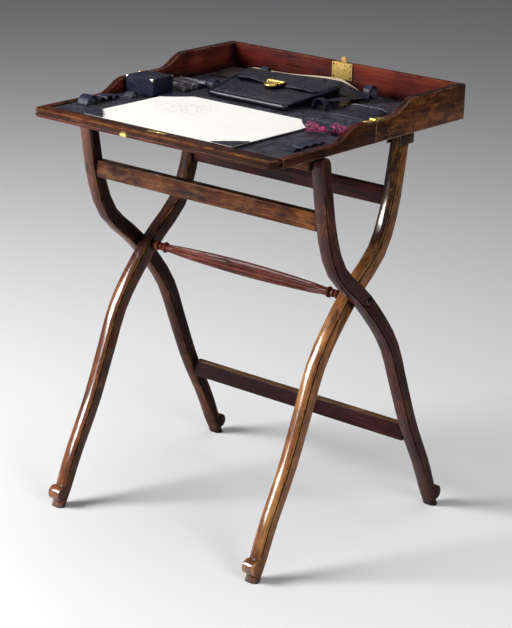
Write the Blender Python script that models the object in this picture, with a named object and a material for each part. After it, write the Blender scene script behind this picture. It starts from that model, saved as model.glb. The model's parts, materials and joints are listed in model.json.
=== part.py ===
"""Folding writing table: a two-leaf fitted top on a folding frame of curved legs.

Metres, +Z up, +Y to the rear, origin at the middle of the footprint on the floor.
Stored open for writing. Each moving body hangs from an empty that sits on its joint's axis.
"""

import math

import bmesh
import bpy
from mathutils import Matrix, Vector

# Clearances
CLEAR = 0.0003
RUNNING_CLEAR = 0.0004

# Table top, measured open; heights are above the underside
TOP_WIDTH = 0.490
UNDERSIDE_Z = 0.665
JOINT_Y = 0.005
LEAF_DEPTH = 0.2375
NOSING_OVERSAIL = 0.010
LIP_HEIGHT = 0.0144
BACK_HEIGHT = 0.057
BOARD_THICKNESS = 0.010
SIDE_THICKNESS = 0.012
BACK_THICKNESS = 0.010
LIP_WIDTH = 0.024
LIP_CORNER_RADIUS = 0.012
BEAD_DEPTH = 0.0026
OGEE_START = 0.045
OGEE_RUN = 0.055
OGEE_STEPS = 10
SIDE_EDGE_ROUND = 0.0018

# Leather lining and blotter
LINING_THICKNESS = 0.0015
BLOTTER_BOARD_THICKNESS = 0.0020
PAPER_THICKNESS = 0.0010
BLOTTER_CORNER_SIZE = 0.050
BLOTTER_CORNER_BULGE = 0.007
BLOTTER_CORNER_THICKNESS = 0.0012
BLOTTER_CORNER_STEPS = 6
BLOTTER_SIDE_MARGIN = 0.083
BLOTTER_FRONT_MARGIN = 0.0095
BLOTTER_REAR_MARGIN = 0.006

# Legs; the bends run from the pivot outwards, as shares of the reach and of the rise or drop
LEG_THICKNESS = 0.023
LEG_GAP = 0.006
OUTER_LEG_PROUD = 0.007
LEG_TOP_DEPTH = 0.0245
LEG_PIVOT_DEPTH = 0.028
LEG_FOOT_DEPTH = 0.022
SOLE_DEPTH = 0.013
FOOT_TAPER_HEIGHT = 0.040
LEG_EDGE = 0.0046
LEG_QUIRK = 0.0012
LEG_STATIONS = 26
PIVOT_Y = -0.003
PIVOT_Z = 0.413
TOP_REACH = 0.1195
FOOT_REACH = 0.219
UPPER_BENDS = ((0.572, 0.25), (0.808, 0.50), (0.916, 0.75))
LOWER_BENDS = ((0.318, 0.2), (0.485, 0.4), (0.643, 0.6), (0.843, 0.8))
VOLUTE_RADIUS = 0.0125
VOLUTE_HEIGHT = 0.0235
VOLUTE_FORWARD = 0.0092
VOLUTE_OVERHANG = 0.0008
VOLUTE_EYE = 0.0014

# Rails and the turned stretcher
RAIL_HEIGHT = 0.029
RAIL_THICKNESS = 0.016
RAIL_EDGE_ROUND = 0.002
OUTER_TOP_RAIL_Z = 0.560
OUTER_FOOT_RAIL_Z = 0.147
INNER_TOP_RAIL_Z = 0.556
STRETCHER_END_RADIUS = 0.0072
STRETCHER_MID_RADIUS = 0.0122
STRETCHER_TURNED_LENGTH = 0.030
BALL_RADIUS = 0.0088
COLLAR_RADIUS = 0.0094
REED_COUNT = 9
REED_DEPTH = 0.0013
SWELL_STEPS = 5

# Pivots, studs and their brass
BOLT_RADIUS = 0.0040
BOLT_HEAD_RADIUS = 0.0068
BOLT_HEAD_HEIGHT = 0.0040
BOLT_SINK = 0.0028
WASHER_RADIUS = 0.0108
TOP_PIN_RADIUS = 0.0028
BRACKET_THICKNESS = 0.0024
BRACKET_WIDTH = 0.034
BRACKET_FLANGE = 0.024
STUD_RADIUS = 0.0040
STUD_REACH = 0.019
STUD_BURIED = 0.012
REST_DEPTH = 0.038
REST_WALL = 0.0137
REST_DROP = 0.0080

# Hinges between the two leaves
KNUCKLE_RADIUS = 0.0024
HINGE_PIN_RADIUS = 0.0011
HINGE_PLATE_THICKNESS = 0.0012
HINGE_PLATE_LENGTH = 0.020
HINGE_PLATE_MARGIN = 0.0005

# Lock in the back rail
LOCK_X = 0.005
LOCK_PLATE_WIDTH = 0.042
LOCK_PLATE_HEIGHT = 0.028
LOCK_PLATE_THICKNESS = 0.0015
LOCK_CASE_WIDTH = 0.033
LOCK_CASE_DEPTH = 0.0066
LOCK_CASE_WALL = 0.0010
LOCK_BOLT_WIDTH = 0.011
LOCK_BOLT_THICKNESS = 0.0016
LOCK_BOLT_THROW = 0.009
LOCK_BOLT_TAIL = 0.009
STRIKE_WIDTH = 0.036
STRIKE_DEPTH = 0.009
STRIKE_THICKNESS = 0.0010
STRIKE_SLOT_CLEAR = 0.0010
KEYHOLE_RADIUS = 0.0026
KEYHOLE_LENGTH = 0.0062
KEYHOLE_DROP = 0.011

# Inkwell, against the joint at the left of the front leaf
INKWELL_WIDTH = 0.058
INKWELL_DEPTH = 0.050
INKWELL_HEIGHT = 0.022
INKWELL_WALL = 0.003
INKWELL_LID_HEIGHT = 0.008
INKWELL_SIDE_GAP = 0.009
INKWELL_JOINT_GAP = 0.004
BOTTLE_CLEAR = 0.0020
BOTTLE_SHOULDER = 0.014
BOTTLE_NECK_RADIUS = 0.010
BOTTLE_NECK_HEIGHT = 0.0070
BOTTLE_CORNER_RADIUS = 0.0020

# Wallet on the rear leaf
WALLET_X = -0.036
WALLET_FRONT = 0.038
WALLET_DEPTH = 0.114
WALLET_FRONT_WIDTH = 0.166
WALLET_REAR_WIDTH = 0.200
WALLET_FRONT_HEIGHT = 0.010
WALLET_REAR_HEIGHT = 0.024
WALLET_EDGE_ROUND = 0.0028
FLAP_DEPTH = 0.052
FLAP_THICKNESS = 0.0024
FLAP_CORNER_RADIUS = 0.014
CLASP_WIDTH = 0.036
CLASP_DEPTH = 0.024
CLASP_HEIGHT = 0.0034
WALLET_ROLL_RADIUS = 0.0055
WALLET_ROLL_GAP = 0.0012

# Leather loops, pockets and trimmings
LOOP_THICKNESS = 0.0013
LOOP_BAND = 0.013
SMALL_LOOP_RADIUS = 0.0084
PEN_LOOP_COUNT = 4
PEN_LOOP_PITCH = 0.019
PEN_STRIP_WIDTH = 0.022
PEN_STRIP_SETBACK = 0.052
ELASTIC_LOOP_RADIUS = 0.0090
ELASTIC_BAND = 0.017
ELASTIC_RIB_DEPTH = 0.0007
ELASTIC_RIB_COUNT = 5
WALLET_LOOP_RADIUS = 0.011
WALLET_LOOP_STAND = 0.004
WALLET_LOOP_SETBACK = 0.040
RIGHT_LOOP_RADIUS = 0.0135
RIGHT_LOOP_STAND = 0.006
BACK_LOOP_RADIUS = 0.0075
BACK_LOOP_STAND = 0.022
POCKET_LOOP_RADIUS = 0.012
POCKET_LOOP_STAND = 0.014
LEFT_POCKET_WIDTH = 0.062
LEFT_POCKET_DEPTH = 0.054
LEFT_POCKET_HEIGHT = 0.013
LEFT_POCKET_GAP = 0.012
RIGHT_POCKET_SETBACK = 0.027
RIGHT_POCKET_WIDTH = 0.078
RIGHT_POCKET_DEPTH = 0.058
RIGHT_POCKET_HEIGHT = 0.011
PEN_ROLL_RADIUS = 0.0050
PAPER_STACK_WIDTH = 0.262
PAPER_STACK_DEPTH = 0.050
PAPER_STACK_HEIGHT = 0.0030
PAPER_STACK_GAP = 0.003
TASSEL_RADIUS = 0.0085
TASSEL_LENGTH = 0.038

# Places worked out from the sizes above
HALF_WIDTH = TOP_WIDTH / 2
FRONT_Y = JOINT_Y - LEAF_DEPTH - NOSING_OVERSAIL
REAR_Y = JOINT_Y + LEAF_DEPTH
MID_HEIGHT = (LIP_HEIGHT + BACK_HEIGHT) / 2
LEAF_AXIS_Z = UNDERSIDE_Z + MID_HEIGHT + CLEAR
INSIDE_X = HALF_WIDTH - SIDE_THICKNESS
BACK_FACE_Y = REAR_Y - BACK_THICKNESS
LIP_FACE_Y = FRONT_Y + LIP_WIDTH
LINING_Z = UNDERSIDE_Z + BOARD_THICKNESS + CLEAR
FIT_Z = LINING_Z + LINING_THICKNESS + CLEAR
OUTER_X1 = HALF_WIDTH + OUTER_LEG_PROUD
OUTER_X0 = OUTER_X1 - LEG_THICKNESS
INNER_X1 = OUTER_X0 - LEG_GAP
INNER_X0 = INNER_X1 - LEG_THICKNESS
TOP_PIN_Y = PIVOT_Y + TOP_REACH
TOP_PIN_Z = UNDERSIDE_Z - BRACKET_THICKNESS - 3 * CLEAR - LEG_TOP_DEPTH / 2
STUD_Y = PIVOT_Y - TOP_REACH
STUD_Z = UNDERSIDE_Z - CLEAR - LEG_TOP_DEPTH / 2
BOLT_BAR_Y = BACK_FACE_Y + LOCK_CASE_DEPTH / 2
INKWELL_X = -INSIDE_X + INKWELL_SIDE_GAP + INKWELL_WIDTH / 2
INKWELL_REAR_Y = JOINT_Y - INKWELL_JOINT_GAP
INKWELL_FRONT_Y = INKWELL_REAR_Y - INKWELL_DEPTH
LID_AXIS_Y = INKWELL_REAR_Y
LID_AXIS_Z = FIT_Z + INKWELL_HEIGHT + CLEAR / 2
WALLET_FRONT_Y = JOINT_Y + WALLET_FRONT
WALLET_REAR_Y = WALLET_FRONT_Y + WALLET_DEPTH
WALLET_SLOPE = math.atan2(WALLET_REAR_HEIGHT - WALLET_FRONT_HEIGHT, WALLET_DEPTH)
FLAP_AXIS_Y = WALLET_REAR_Y
FLAP_AXIS_Z = FIT_Z + WALLET_REAR_HEIGHT + CLEAR

SIDES = ((-1, "left"), (1, "right"))
SMOOTH_ANGLE = math.radians(35)
COLOURS = {
    "mahogany": ((0.16, 0.065, 0.032), 0.32, 0.0),
    "leather": ((0.035, 0.034, 0.055), 0.42, 0.0),
    "paper": ((0.86, 0.83, 0.76), 0.85, 0.0),
    "note_paper": ((0.42, 0.34, 0.24), 0.8, 0.0),
    "brass": ((0.78, 0.56, 0.22), 0.28, 1.0),
    "silk": ((0.30, 0.03, 0.10), 0.6, 0.0),
    "elastic": ((0.22, 0.22, 0.25), 0.7, 0.0),
    "glass": ((0.75, 0.82, 0.80), 0.05, 0.0),
}


def clear_scene():
    for item in list(bpy.data.objects):
        bpy.data.objects.remove(item, do_unlink=True)


def material(slot):
    found = bpy.data.materials.get(slot)
    if found:
        return found
    colour, roughness, metallic = COLOURS[slot]
    made = bpy.data.materials.new(slot)
    made.use_nodes = True
    shader = made.node_tree.nodes["Principled BSDF"]
    shader.inputs["Base Color"].default_value = (*colour, 1.0)
    shader.inputs["Roughness"].default_value = roughness
    shader.inputs["Metallic"].default_value = metallic
    return made


def empty(name, place, parent=None):
    holder = bpy.data.objects.new(name, None)
    bpy.context.scene.collection.objects.link(holder)
    holder["pivot"] = place
    above = Vector(parent["pivot"]) if parent else Vector()
    holder.parent = parent
    holder.location = Vector(place) - above
    return holder


def node(name, shape, slot, body):
    """Turn a bmesh in world places into a named object under its body's empty."""
    bmesh.ops.recalc_face_normals(shape, faces=shape.faces)
    mesh = bpy.data.meshes.new(name)
    shape.to_mesh(mesh)
    shape.free()
    mesh.transform(Matrix.Translation(-Vector(body["pivot"])))
    mesh.materials.append(material(slot))
    mesh.shade_smooth()
    mesh.set_sharp_from_angle(angle=SMOOTH_ANGLE)
    made = bpy.data.objects.new(name, mesh)
    bpy.context.scene.collection.objects.link(made)
    made.parent = body


def combine(target, tool, operation):
    """Cut the bmesh tool out of a bmesh target, or join it on, with an exact Boolean."""
    pieces = []
    for shape in (target, tool):
        bmesh.ops.recalc_face_normals(shape, faces=shape.faces)
        mesh = bpy.data.meshes.new("work")
        shape.to_mesh(mesh)
        shape.free()
        piece = bpy.data.objects.new("work", mesh)
        bpy.context.scene.collection.objects.link(piece)
        pieces.append(piece)
    base, cutter = pieces
    step = base.modifiers.new("combine", "BOOLEAN")
    step.operation = operation
    step.solver = "EXACT"
    step.object = cutter
    graph = bpy.context.evaluated_depsgraph_get()
    result = bmesh.new()
    result.from_object(base, graph)
    for piece in pieces:
        bpy.data.objects.remove(piece, do_unlink=True)
    return result


def cut(target, tool):
    return combine(target, tool, "DIFFERENCE")


def join(target, tool):
    return combine(target, tool, "UNION")


def loft(rings):
    """A closed solid through rings of points, capped at both ends."""
    shape = bmesh.new()
    rows = [[shape.verts.new(point) for point in ring] for ring in rings]
    count = len(rows[0])
    for low, high in zip(rows, rows[1:]):
        for i in range(count):
            j = (i + 1) % count
            shape.faces.new((low[i], low[j], high[j], high[i]))
    shape.faces.new(rows[0][::-1])
    shape.faces.new(rows[-1])
    return shape


def prism(outline, axis, low, high):
    """Extrude a flat outline along X, Y or Z; its points are the other two axes in order."""
    def place(point, along):
        a, b = point
        return {"x": (along, a, b), "y": (a, along, b), "z": (a, b, along)}[axis]
    return loft([[place(point, low) for point in outline], [place(point, high) for point in outline]])


def block(x, y, z):
    (x0, x1), (y0, y1), (z0, z1) = x, y, z
    return prism(((x0, y0), (x1, y0), (x1, y1), (x0, y1)), "z", z0, z1)


def rounded(shape, width, segments=2, least=math.radians(30)):
    """Round every edge that turns by more than the least angle."""
    shape.normal_update()
    sharp = [edge for edge in shape.edges if edge.calc_face_angle(0.0) > least]
    bmesh.ops.bevel(shape, geom=sharp, offset=width, segments=segments, profile=0.5,
                    affect="EDGES", clamp_overlap=True)
    return shape


def turned(profile, centre, segments=16, reed=None):
    """Revolve (distance along X, radius) points about a line along X through centre."""
    rings = []
    for along, radius in profile:
        ring = []
        for i in range(segments):
            angle = 2 * math.pi * i / segments
            r = radius - (reed(along, i) if reed else 0.0)
            y, z = centre[1] + r * math.cos(angle), centre[2] + r * math.sin(angle)
            ring.append((centre[0] + along, y, z))
        rings.append(ring)
    return loft(rings)


def rod(x0, x1, y, z, radius, segments=16):
    return turned(((x0, radius), (x1, radius)), (0.0, y, z), segments)


def standing_rod(x, y, z0, z1, radius, segments=12):
    circle = [(x + radius * math.cos(2 * math.pi * i / segments),
               y + radius * math.sin(2 * math.pi * i / segments)) for i in range(segments)]
    return prism(circle, "z", z0, z1)


def ease(share):
    return share * share * (3 - 2 * share)


def smooth_line(points, stations):
    """Even stations along a Catmull-Rom curve through the points, in the Y-Z plane."""
    nodes = [Vector(p) for p in points]
    nodes = [2 * nodes[0] - nodes[1]] + nodes + [2 * nodes[-1] - nodes[-2]]
    fine = []
    for a, b, c, d in zip(nodes, nodes[1:], nodes[2:], nodes[3:]):
        for step in range(12):
            t = step / 12
            fine.append(0.5 * (2 * b + (c - a) * t + (2 * a - 5 * b + 4 * c - d) * t ** 2
                               + (3 * b - a - 3 * c + d) * t ** 3))
    fine.append(nodes[-2])
    lengths = [0.0]
    for p, q in zip(fine, fine[1:]):
        lengths.append(lengths[-1] + (q - p).length)
    line = []
    k = 0
    for i in range(stations):
        wanted = lengths[-1] * i / (stations - 1)
        while k < len(fine) - 2 and lengths[k + 1] < wanted:
            k += 1
        share = (wanted - lengths[k]) / (lengths[k + 1] - lengths[k])
        line.append(fine[k].lerp(fine[k + 1], share))
    return line


def leg_line(top_side, top_z):
    """Centre line of a leg, from its top pin down through the pivot to below the floor."""
    pivot = Vector((PIVOT_Y, PIVOT_Z))
    top_reach = top_side * TOP_REACH
    foot_reach = -top_side * FOOT_REACH
    upper = [pivot + Vector((top_reach * r, (top_z - PIVOT_Z) * h)) for r, h in UPPER_BENDS]
    lower = [pivot + Vector((foot_reach * r, -PIVOT_Z * h)) for r, h in LOWER_BENDS]
    foot = Vector((PIVOT_Y + foot_reach, 0.0))
    buried = foot + (foot - lower[-1]).normalized() * LEG_FOOT_DEPTH
    top = Vector((PIVOT_Y + top_reach, top_z))
    return smooth_line([top] + upper[::-1] + [pivot] + lower + [foot, buried], LEG_STATIONS)


def line_y(line, z):
    """Where a leg's centre line crosses a height."""
    for p, q in zip(line, line[1:]):
        if q.y <= z <= p.y:
            return p.lerp(q, (p.y - z) / (p.y - q.y)).x
    return line[-1].x


def leg_depth(z, top_z):
    """A leg is deepest at the pivot and draws in below its scroll to a small sole."""
    if z > PIVOT_Z:
        share = min(1.0, (z - PIVOT_Z) / (top_z - PIVOT_Z))
        return LEG_PIVOT_DEPTH + (LEG_TOP_DEPTH - LEG_PIVOT_DEPTH) * share
    if z > FOOT_TAPER_HEIGHT:
        share = (z - FOOT_TAPER_HEIGHT) / (PIVOT_Z - FOOT_TAPER_HEIGHT)
        return LEG_FOOT_DEPTH + (LEG_PIVOT_DEPTH - LEG_FOOT_DEPTH) * share
    return SOLE_DEPTH + (LEG_FOOT_DEPTH - SOLE_DEPTH) * max(0.0, z) / FOOT_TAPER_HEIGHT


def leg_section(half_depth):
    """Half thickness and half depth points of a leg: flat cheeks, quirks and crowned edges."""
    half = LEG_THICKNESS / 2
    corner = ((half, half_depth - LEG_EDGE),
              (half - LEG_QUIRK, half_depth - LEG_EDGE + LEG_QUIRK * 0.6),
              (half - LEG_QUIRK * 0.8, half_depth - LEG_EDGE * 0.45),
              (half * 0.5, half_depth))
    front = list(corner) + [(-v, u) for v, u in corner[::-1]]
    return front + [(-v, -u) for v, u in front]


def leg_shape(line, x_mid, outward):
    """Loft a leg down its line, with a round top, a flat sole and a scroll on its outward side."""
    top_z = line[0].y
    rings = []

    def ring(centre, along, share):
        across = Vector((-along.y, along.x))
        half_depth = leg_depth(centre.y, top_z) / 2
        points = []
        for v, u in leg_section(half_depth):
            spot = centre + across * (u * share)
            points.append((x_mid + v, spot.x, spot.y))
        return points

    up = (line[0] - line[1]).normalized()
    for turn in (86, 66, 44, 22):
        angle = math.radians(turn)
        rings.append(ring(line[0] + up * (LEG_TOP_DEPTH / 2 * math.sin(angle)), -up, math.cos(angle)))
    for i, centre in enumerate(line):
        before = line[max(i - 1, 0)]
        after = line[min(i + 1, len(line) - 1)]
        rings.append(ring(centre, (after - before).normalized(), 1.0))
    shape = loft(rings)
    trim = bmesh.ops.bisect_plane(shape, geom=shape.verts[:] + shape.edges[:] + shape.faces[:],
                                  plane_co=(0, 0, 0), plane_no=(0, 0, 1), clear_inner=True)
    sole = [edge for edge in trim["geom_cut"] if isinstance(edge, bmesh.types.BMEdge)]
    bmesh.ops.edgeloop_fill(shape, edges=sole)
    eye_y = line_y(line, VOLUTE_HEIGHT) + outward * VOLUTE_FORWARD
    return join(shape, volute((x_mid, eye_y, VOLUTE_HEIGHT)))


def volute(centre):
    half = LEG_THICKNESS / 2 + VOLUTE_OVERHANG
    r = VOLUTE_RADIUS
    side = ((half + VOLUTE_EYE, r * 0.26), (half + VOLUTE_EYE * 0.5, r * 0.42), (half, r * 0.48),
            (half, r * 0.84), (half - VOLUTE_OVERHANG, r))
    return turned([(-x, size) for x, size in side] + list(side[::-1]), centre)


def rail_shape(half_length, y, z):
    shape = block((-half_length, half_length), (y - RAIL_THICKNESS / 2, y + RAIL_THICKNESS / 2),
                  (z - RAIL_HEIGHT / 2, z + RAIL_HEIGHT / 2))
    return rounded(shape, RAIL_EDGE_ROUND)


def bores(y, z, radius, reach=2.0):
    return rod(-reach, reach, y, z, radius, 16)


def inner_frame(body):
    """Root: the legs that carry the rear leaf, their rail, the stretcher and the pivot bolts."""
    line = leg_line(1, TOP_PIN_Z)
    x_mid = (INNER_X0 + INNER_X1) / 2
    for side, word in SIDES:
        shape = leg_shape(line, side * x_mid, -1)
        shape = cut(shape, bores(PIVOT_Y, PIVOT_Z, BOLT_RADIUS + RUNNING_CLEAR))
        shape = cut(shape, bores(TOP_PIN_Y, TOP_PIN_Z, TOP_PIN_RADIUS + RUNNING_CLEAR))
        node("inner_leg_" + word, shape, "mahogany", body)
        node("pivot_bolt_" + word, pivot_bolt(side), "brass", body)
        node("pivot_washer_" + word, pivot_washer(side), "brass", body)
    rail = rail_shape(INNER_X0 - CLEAR, line_y(line, INNER_TOP_RAIL_Z), INNER_TOP_RAIL_Z)
    node("inner_top_rail", rail, "mahogany", body)
    node("stretcher", stretcher_shape(), "mahogany", body)


def stretcher_shape():
    """Turned spindle between the inner legs: ball, collar and a reeded swell."""
    end = INNER_X0 - CLEAR
    shaft = end - STRETCHER_TURNED_LENGTH
    turning = ((0.0, 0.7), (0.08, 0.7), (0.12, 0.55), (0.17, 0.82), (0.27, 1.0), (0.37, 0.82),
               (0.44, 0.50), (0.55, 0.76), (0.65, 0.76), (0.73, 0.52))
    profile = [(end - STRETCHER_TURNED_LENGTH * s, BALL_RADIUS * r) for s, r in turning]
    profile += [(end - STRETCHER_TURNED_LENGTH * s, COLLAR_RADIUS * r)
                for s, r in ((0.80, 0.9), (0.86, 1.0), (0.94, 0.9))]
    swell = []
    for i in range(SWELL_STEPS + 1):
        share = i / SWELL_STEPS
        growth = (STRETCHER_MID_RADIUS - STRETCHER_END_RADIUS) * math.sin(share * math.pi / 2)
        swell.append((shaft * (1 - share), STRETCHER_END_RADIUS + growth))
    half = profile + swell
    whole = half + [(-x, r) for x, r in half[-2::-1]]

    def reed(along, i):
        return REED_DEPTH if abs(along) < shaft and i % 3 == 0 else 0.0
    return turned(whole, (0.0, PIVOT_Y, PIVOT_Z), REED_COUNT * 3, reed)


def pivot_bolt(side):
    """Round-headed bolt through the outer leg and washer into the inner leg."""
    head = OUTER_X1 - BOLT_SINK + CLEAR
    profile = [(INNER_X0 + CLEAR, BOLT_RADIUS), (head, BOLT_RADIUS), (head, BOLT_HEAD_RADIUS)]
    for turn in (20, 50, 80):
        angle = math.radians(turn)
        profile.append((head + BOLT_HEAD_HEIGHT * math.sin(angle), BOLT_HEAD_RADIUS * math.cos(angle)))
    return turned([(side * x, r) for x, r in profile], (0.0, PIVOT_Y, PIVOT_Z))


def pivot_washer(side):
    """Ring that keeps the crossing legs apart."""
    ends = sorted((side * (INNER_X1 + CLEAR), side * (OUTER_X0 - CLEAR)))
    ring = rod(*ends, PIVOT_Y, PIVOT_Z, WASHER_RADIUS)
    return cut(ring, bores(PIVOT_Y, PIVOT_Z, BOLT_RADIUS + RUNNING_CLEAR))


def outer_frame(body):
    """The legs that cross outside the inner ones, their two rails and the studs at their tops."""
    line = leg_line(-1, STUD_Z)
    x_mid = (OUTER_X0 + OUTER_X1) / 2
    for side, word in SIDES:
        shape = leg_shape(line, side * x_mid, 1)
        shape = cut(shape, bores(PIVOT_Y, PIVOT_Z, BOLT_RADIUS + RUNNING_CLEAR))
        sink = sorted((side * (OUTER_X1 - BOLT_SINK), side * (OUTER_X1 + BOLT_SINK)))
        shape = cut(shape, rod(*sink, PIVOT_Y, PIVOT_Z, BOLT_HEAD_RADIUS + BOLT_SINK * 0.5))
        hole = sorted((side * (OUTER_X0 - STUD_BURIED), side * (OUTER_X0 + STUD_BURIED + CLEAR)))
        shape = cut(shape, rod(*hole, STUD_Y, STUD_Z, STUD_RADIUS + CLEAR))
        node("outer_leg_" + word, shape, "mahogany", body)
        ends = sorted((side * (OUTER_X0 - STUD_REACH), side * (OUTER_X0 + STUD_BURIED)))
        node("leg_stud_" + word, rod(*ends, STUD_Y, STUD_Z, STUD_RADIUS), "brass", body)
    reach = OUTER_X0 - CLEAR
    for name, z in (("outer_top_rail", OUTER_TOP_RAIL_Z), ("outer_foot_rail", OUTER_FOOT_RAIL_Z)):
        node(name, rail_shape(reach, line_y(line, z), z), "mahogany", body)


def side_outline(end_height, sign, far):
    """Side rail in Y-Z: level at the joint for the hinge, then an ogee to the end height."""
    seat = KNUCKLE_RADIUS + CLEAR
    near = CLEAR / 2
    axis = LEAF_AXIS_Z - UNDERSIDE_Z
    plate_seat = MID_HEIGHT - HINGE_PLATE_THICKNESS - 2 * CLEAR
    outline = [(far, 0.0), (near, 0.0), (near, axis - seat - CLEAR), (seat + CLEAR, axis - seat - CLEAR),
               (seat + CLEAR, plate_seat), (HINGE_PLATE_LENGTH + CLEAR, plate_seat),
               (HINGE_PLATE_LENGTH + CLEAR, MID_HEIGHT)]
    for i in range(OGEE_STEPS + 1):
        share = i / OGEE_STEPS
        height = MID_HEIGHT + (end_height - MID_HEIGHT) * ease(share)
        outline.append((OGEE_START + OGEE_RUN * share, height))
    outline.append((far, end_height))
    return [(JOINT_Y + sign * d, UNDERSIDE_Z + h) for d, h in outline]


def side_rail(side, end_height, sign, far):
    x0, x1 = sorted((side * INSIDE_X, side * HALF_WIDTH))
    shape = prism(side_outline(end_height, sign, far), "x", x0, x1)
    shape.normal_update()
    ease_edges = [edge for edge in shape.edges if is_top_edge(edge)]
    bmesh.ops.bevel(shape, geom=ease_edges, offset=SIDE_EDGE_ROUND, segments=2, profile=0.5,
                    affect="EDGES", clamp_overlap=True)
    return shape


def is_top_edge(edge):
    """Edges along the top of a side rail, past the hinge seat."""
    a, b = (vert.co for vert in edge.verts)
    past_hinge = min(abs(a.y - JOINT_Y), abs(b.y - JOINT_Y)) > HINGE_PLATE_LENGTH + CLEAR / 2
    raised = min(a.z, b.z) > UNDERSIDE_Z + CLEAR
    return past_hinge and raised and abs(a.x - b.x) < CLEAR and abs(a.y - b.y) > CLEAR


def hinge_plate(side, sign):
    """Brass leaf let into the top of a side rail; the rear one carries the pin."""
    x0 = INSIDE_X + HINGE_PLATE_MARGIN
    x1 = HALF_WIDTH - HINGE_PLATE_MARGIN
    third = (x1 - x0) / 3
    middle = (x0 + third + CLEAR / 2, x1 - third - CLEAR / 2)
    outside = ((x0, x0 + third - CLEAR / 2), (x1 - third + CLEAR / 2, x1))
    top = LEAF_AXIS_Z - CLEAR
    floor = top - HINGE_PLATE_THICKNESS
    start = KNUCKLE_RADIUS + 2 * CLEAR
    ys = sorted((JOINT_Y + sign * start, JOINT_Y + sign * HINGE_PLATE_LENGTH))
    shape = block(sorted((side * x0, side * x1)), ys, (floor, top))
    for span in outside if sign > 0 else (middle,):
        xs = sorted((side * span[0], side * span[1]))
        tongue = sorted((JOINT_Y + sign * KNUCKLE_RADIUS / 2, JOINT_Y + sign * (start + CLEAR)))
        shape = join(shape, block(xs, tongue, (floor + CLEAR / 4, top - CLEAR / 4)))
        shape = join(shape, rod(*xs, JOINT_Y, LEAF_AXIS_Z, KNUCKLE_RADIUS, 12))
    if sign > 0:
        pin = sorted((side * (x0 + third / 2), side * (x1 - third / 2)))
        return join(shape, rod(*pin, JOINT_Y, LEAF_AXIS_Z, HINGE_PIN_RADIUS, 12))
    return cut(shape, bores(JOINT_Y, LEAF_AXIS_Z, HINGE_PIN_RADIUS + CLEAR))


def rear_leaf(body):
    """Rear leaf: board between rails, lining, its hinges on the inner legs and the lock."""
    board_y = (JOINT_Y + CLEAR / 2, BACK_FACE_Y - CLEAR)
    board_x = (-INSIDE_X + CLEAR, INSIDE_X - CLEAR)
    board_z = (UNDERSIDE_Z, UNDERSIDE_Z + BOARD_THICKNESS)
    node("rear_board", block(board_x, board_y, board_z), "mahogany", body)
    for side, word in SIDES:
        node("rear_side_" + word, side_rail(side, BACK_HEIGHT, 1, LEAF_DEPTH), "mahogany", body)
        node("leaf_hinge_rear_" + word, hinge_plate(side, 1), "brass", body)
        node("leg_bracket_" + word, leg_bracket(side), "brass", body)
    node("rear_back", back_shape(), "mahogany", body)
    lining_z = (LINING_Z, LINING_Z + LINING_THICKNESS)
    node("rear_lining", block(board_x, board_y, lining_z), "leather", body)
    lock_pieces(body)


def leg_bracket(side):
    """Brass channel under the rear leaf, with the pin that an inner leg's round top turns on."""
    inner = INNER_X0 - CLEAR
    outer = INNER_X1 + CLEAR
    thick = BRACKET_THICKNESS
    top = UNDERSIDE_Z - CLEAR
    low = TOP_PIN_Z - BRACKET_WIDTH / 4
    outline = [(inner - thick - BRACKET_FLANGE, top), (inner - thick - BRACKET_FLANGE, top - thick),
               (inner - thick, top - thick), (inner - thick, low), (inner, low), (inner, top - thick),
               (outer, top - thick), (outer, low), (outer + thick, low), (outer + thick, top)]
    half = BRACKET_WIDTH / 2
    shape = prism([(side * x, z) for x, z in outline], "y", TOP_PIN_Y - half, TOP_PIN_Y + half)
    ends = sorted((side * (inner - thick / 2), side * (outer + thick / 2)))
    return join(shape, rod(*ends, TOP_PIN_Y, TOP_PIN_Z, TOP_PIN_RADIUS))


def back_shape():
    """Back rail with the lock's mortise, open above, and its keyhole."""
    shape = block((-INSIDE_X + CLEAR, INSIDE_X - CLEAR), (BACK_FACE_Y, REAR_Y),
                  (UNDERSIDE_Z, UNDERSIDE_Z + BACK_HEIGHT))
    shape = rounded(shape, SIDE_EDGE_ROUND / 2, 1)
    half = LOCK_CASE_WIDTH / 2 + CLEAR
    low = lock_case_floor() - CLEAR
    deep = (BACK_FACE_Y - BACK_THICKNESS, BACK_FACE_Y + LOCK_CASE_DEPTH + 2 * CLEAR)
    mortise = block((LOCK_X - half, LOCK_X + half), deep, (low, UNDERSIDE_Z + 2 * BACK_HEIGHT))
    shape = cut(shape, mortise)
    return cut(shape, keyhole(BACK_FACE_Y, REAR_Y + BACK_THICKNESS))


def lock_case_floor():
    return UNDERSIDE_Z + BACK_HEIGHT - LOCK_PLATE_HEIGHT + 4 * LOCK_CASE_WALL


def keyhole(y0, y1):
    z = UNDERSIDE_Z + BACK_HEIGHT - KEYHOLE_DROP
    outline = []
    for i in range(-1, 8):
        angle = math.pi * i / 6
        outline.append((LOCK_X + KEYHOLE_RADIUS * math.cos(angle), z + KEYHOLE_RADIUS * math.sin(angle)))
    slot = KEYHOLE_RADIUS * 0.5
    low = z - KEYHOLE_LENGTH
    return prism(outline + [(LOCK_X - slot, low), (LOCK_X + slot, low)], "y", y0, y1)


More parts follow.
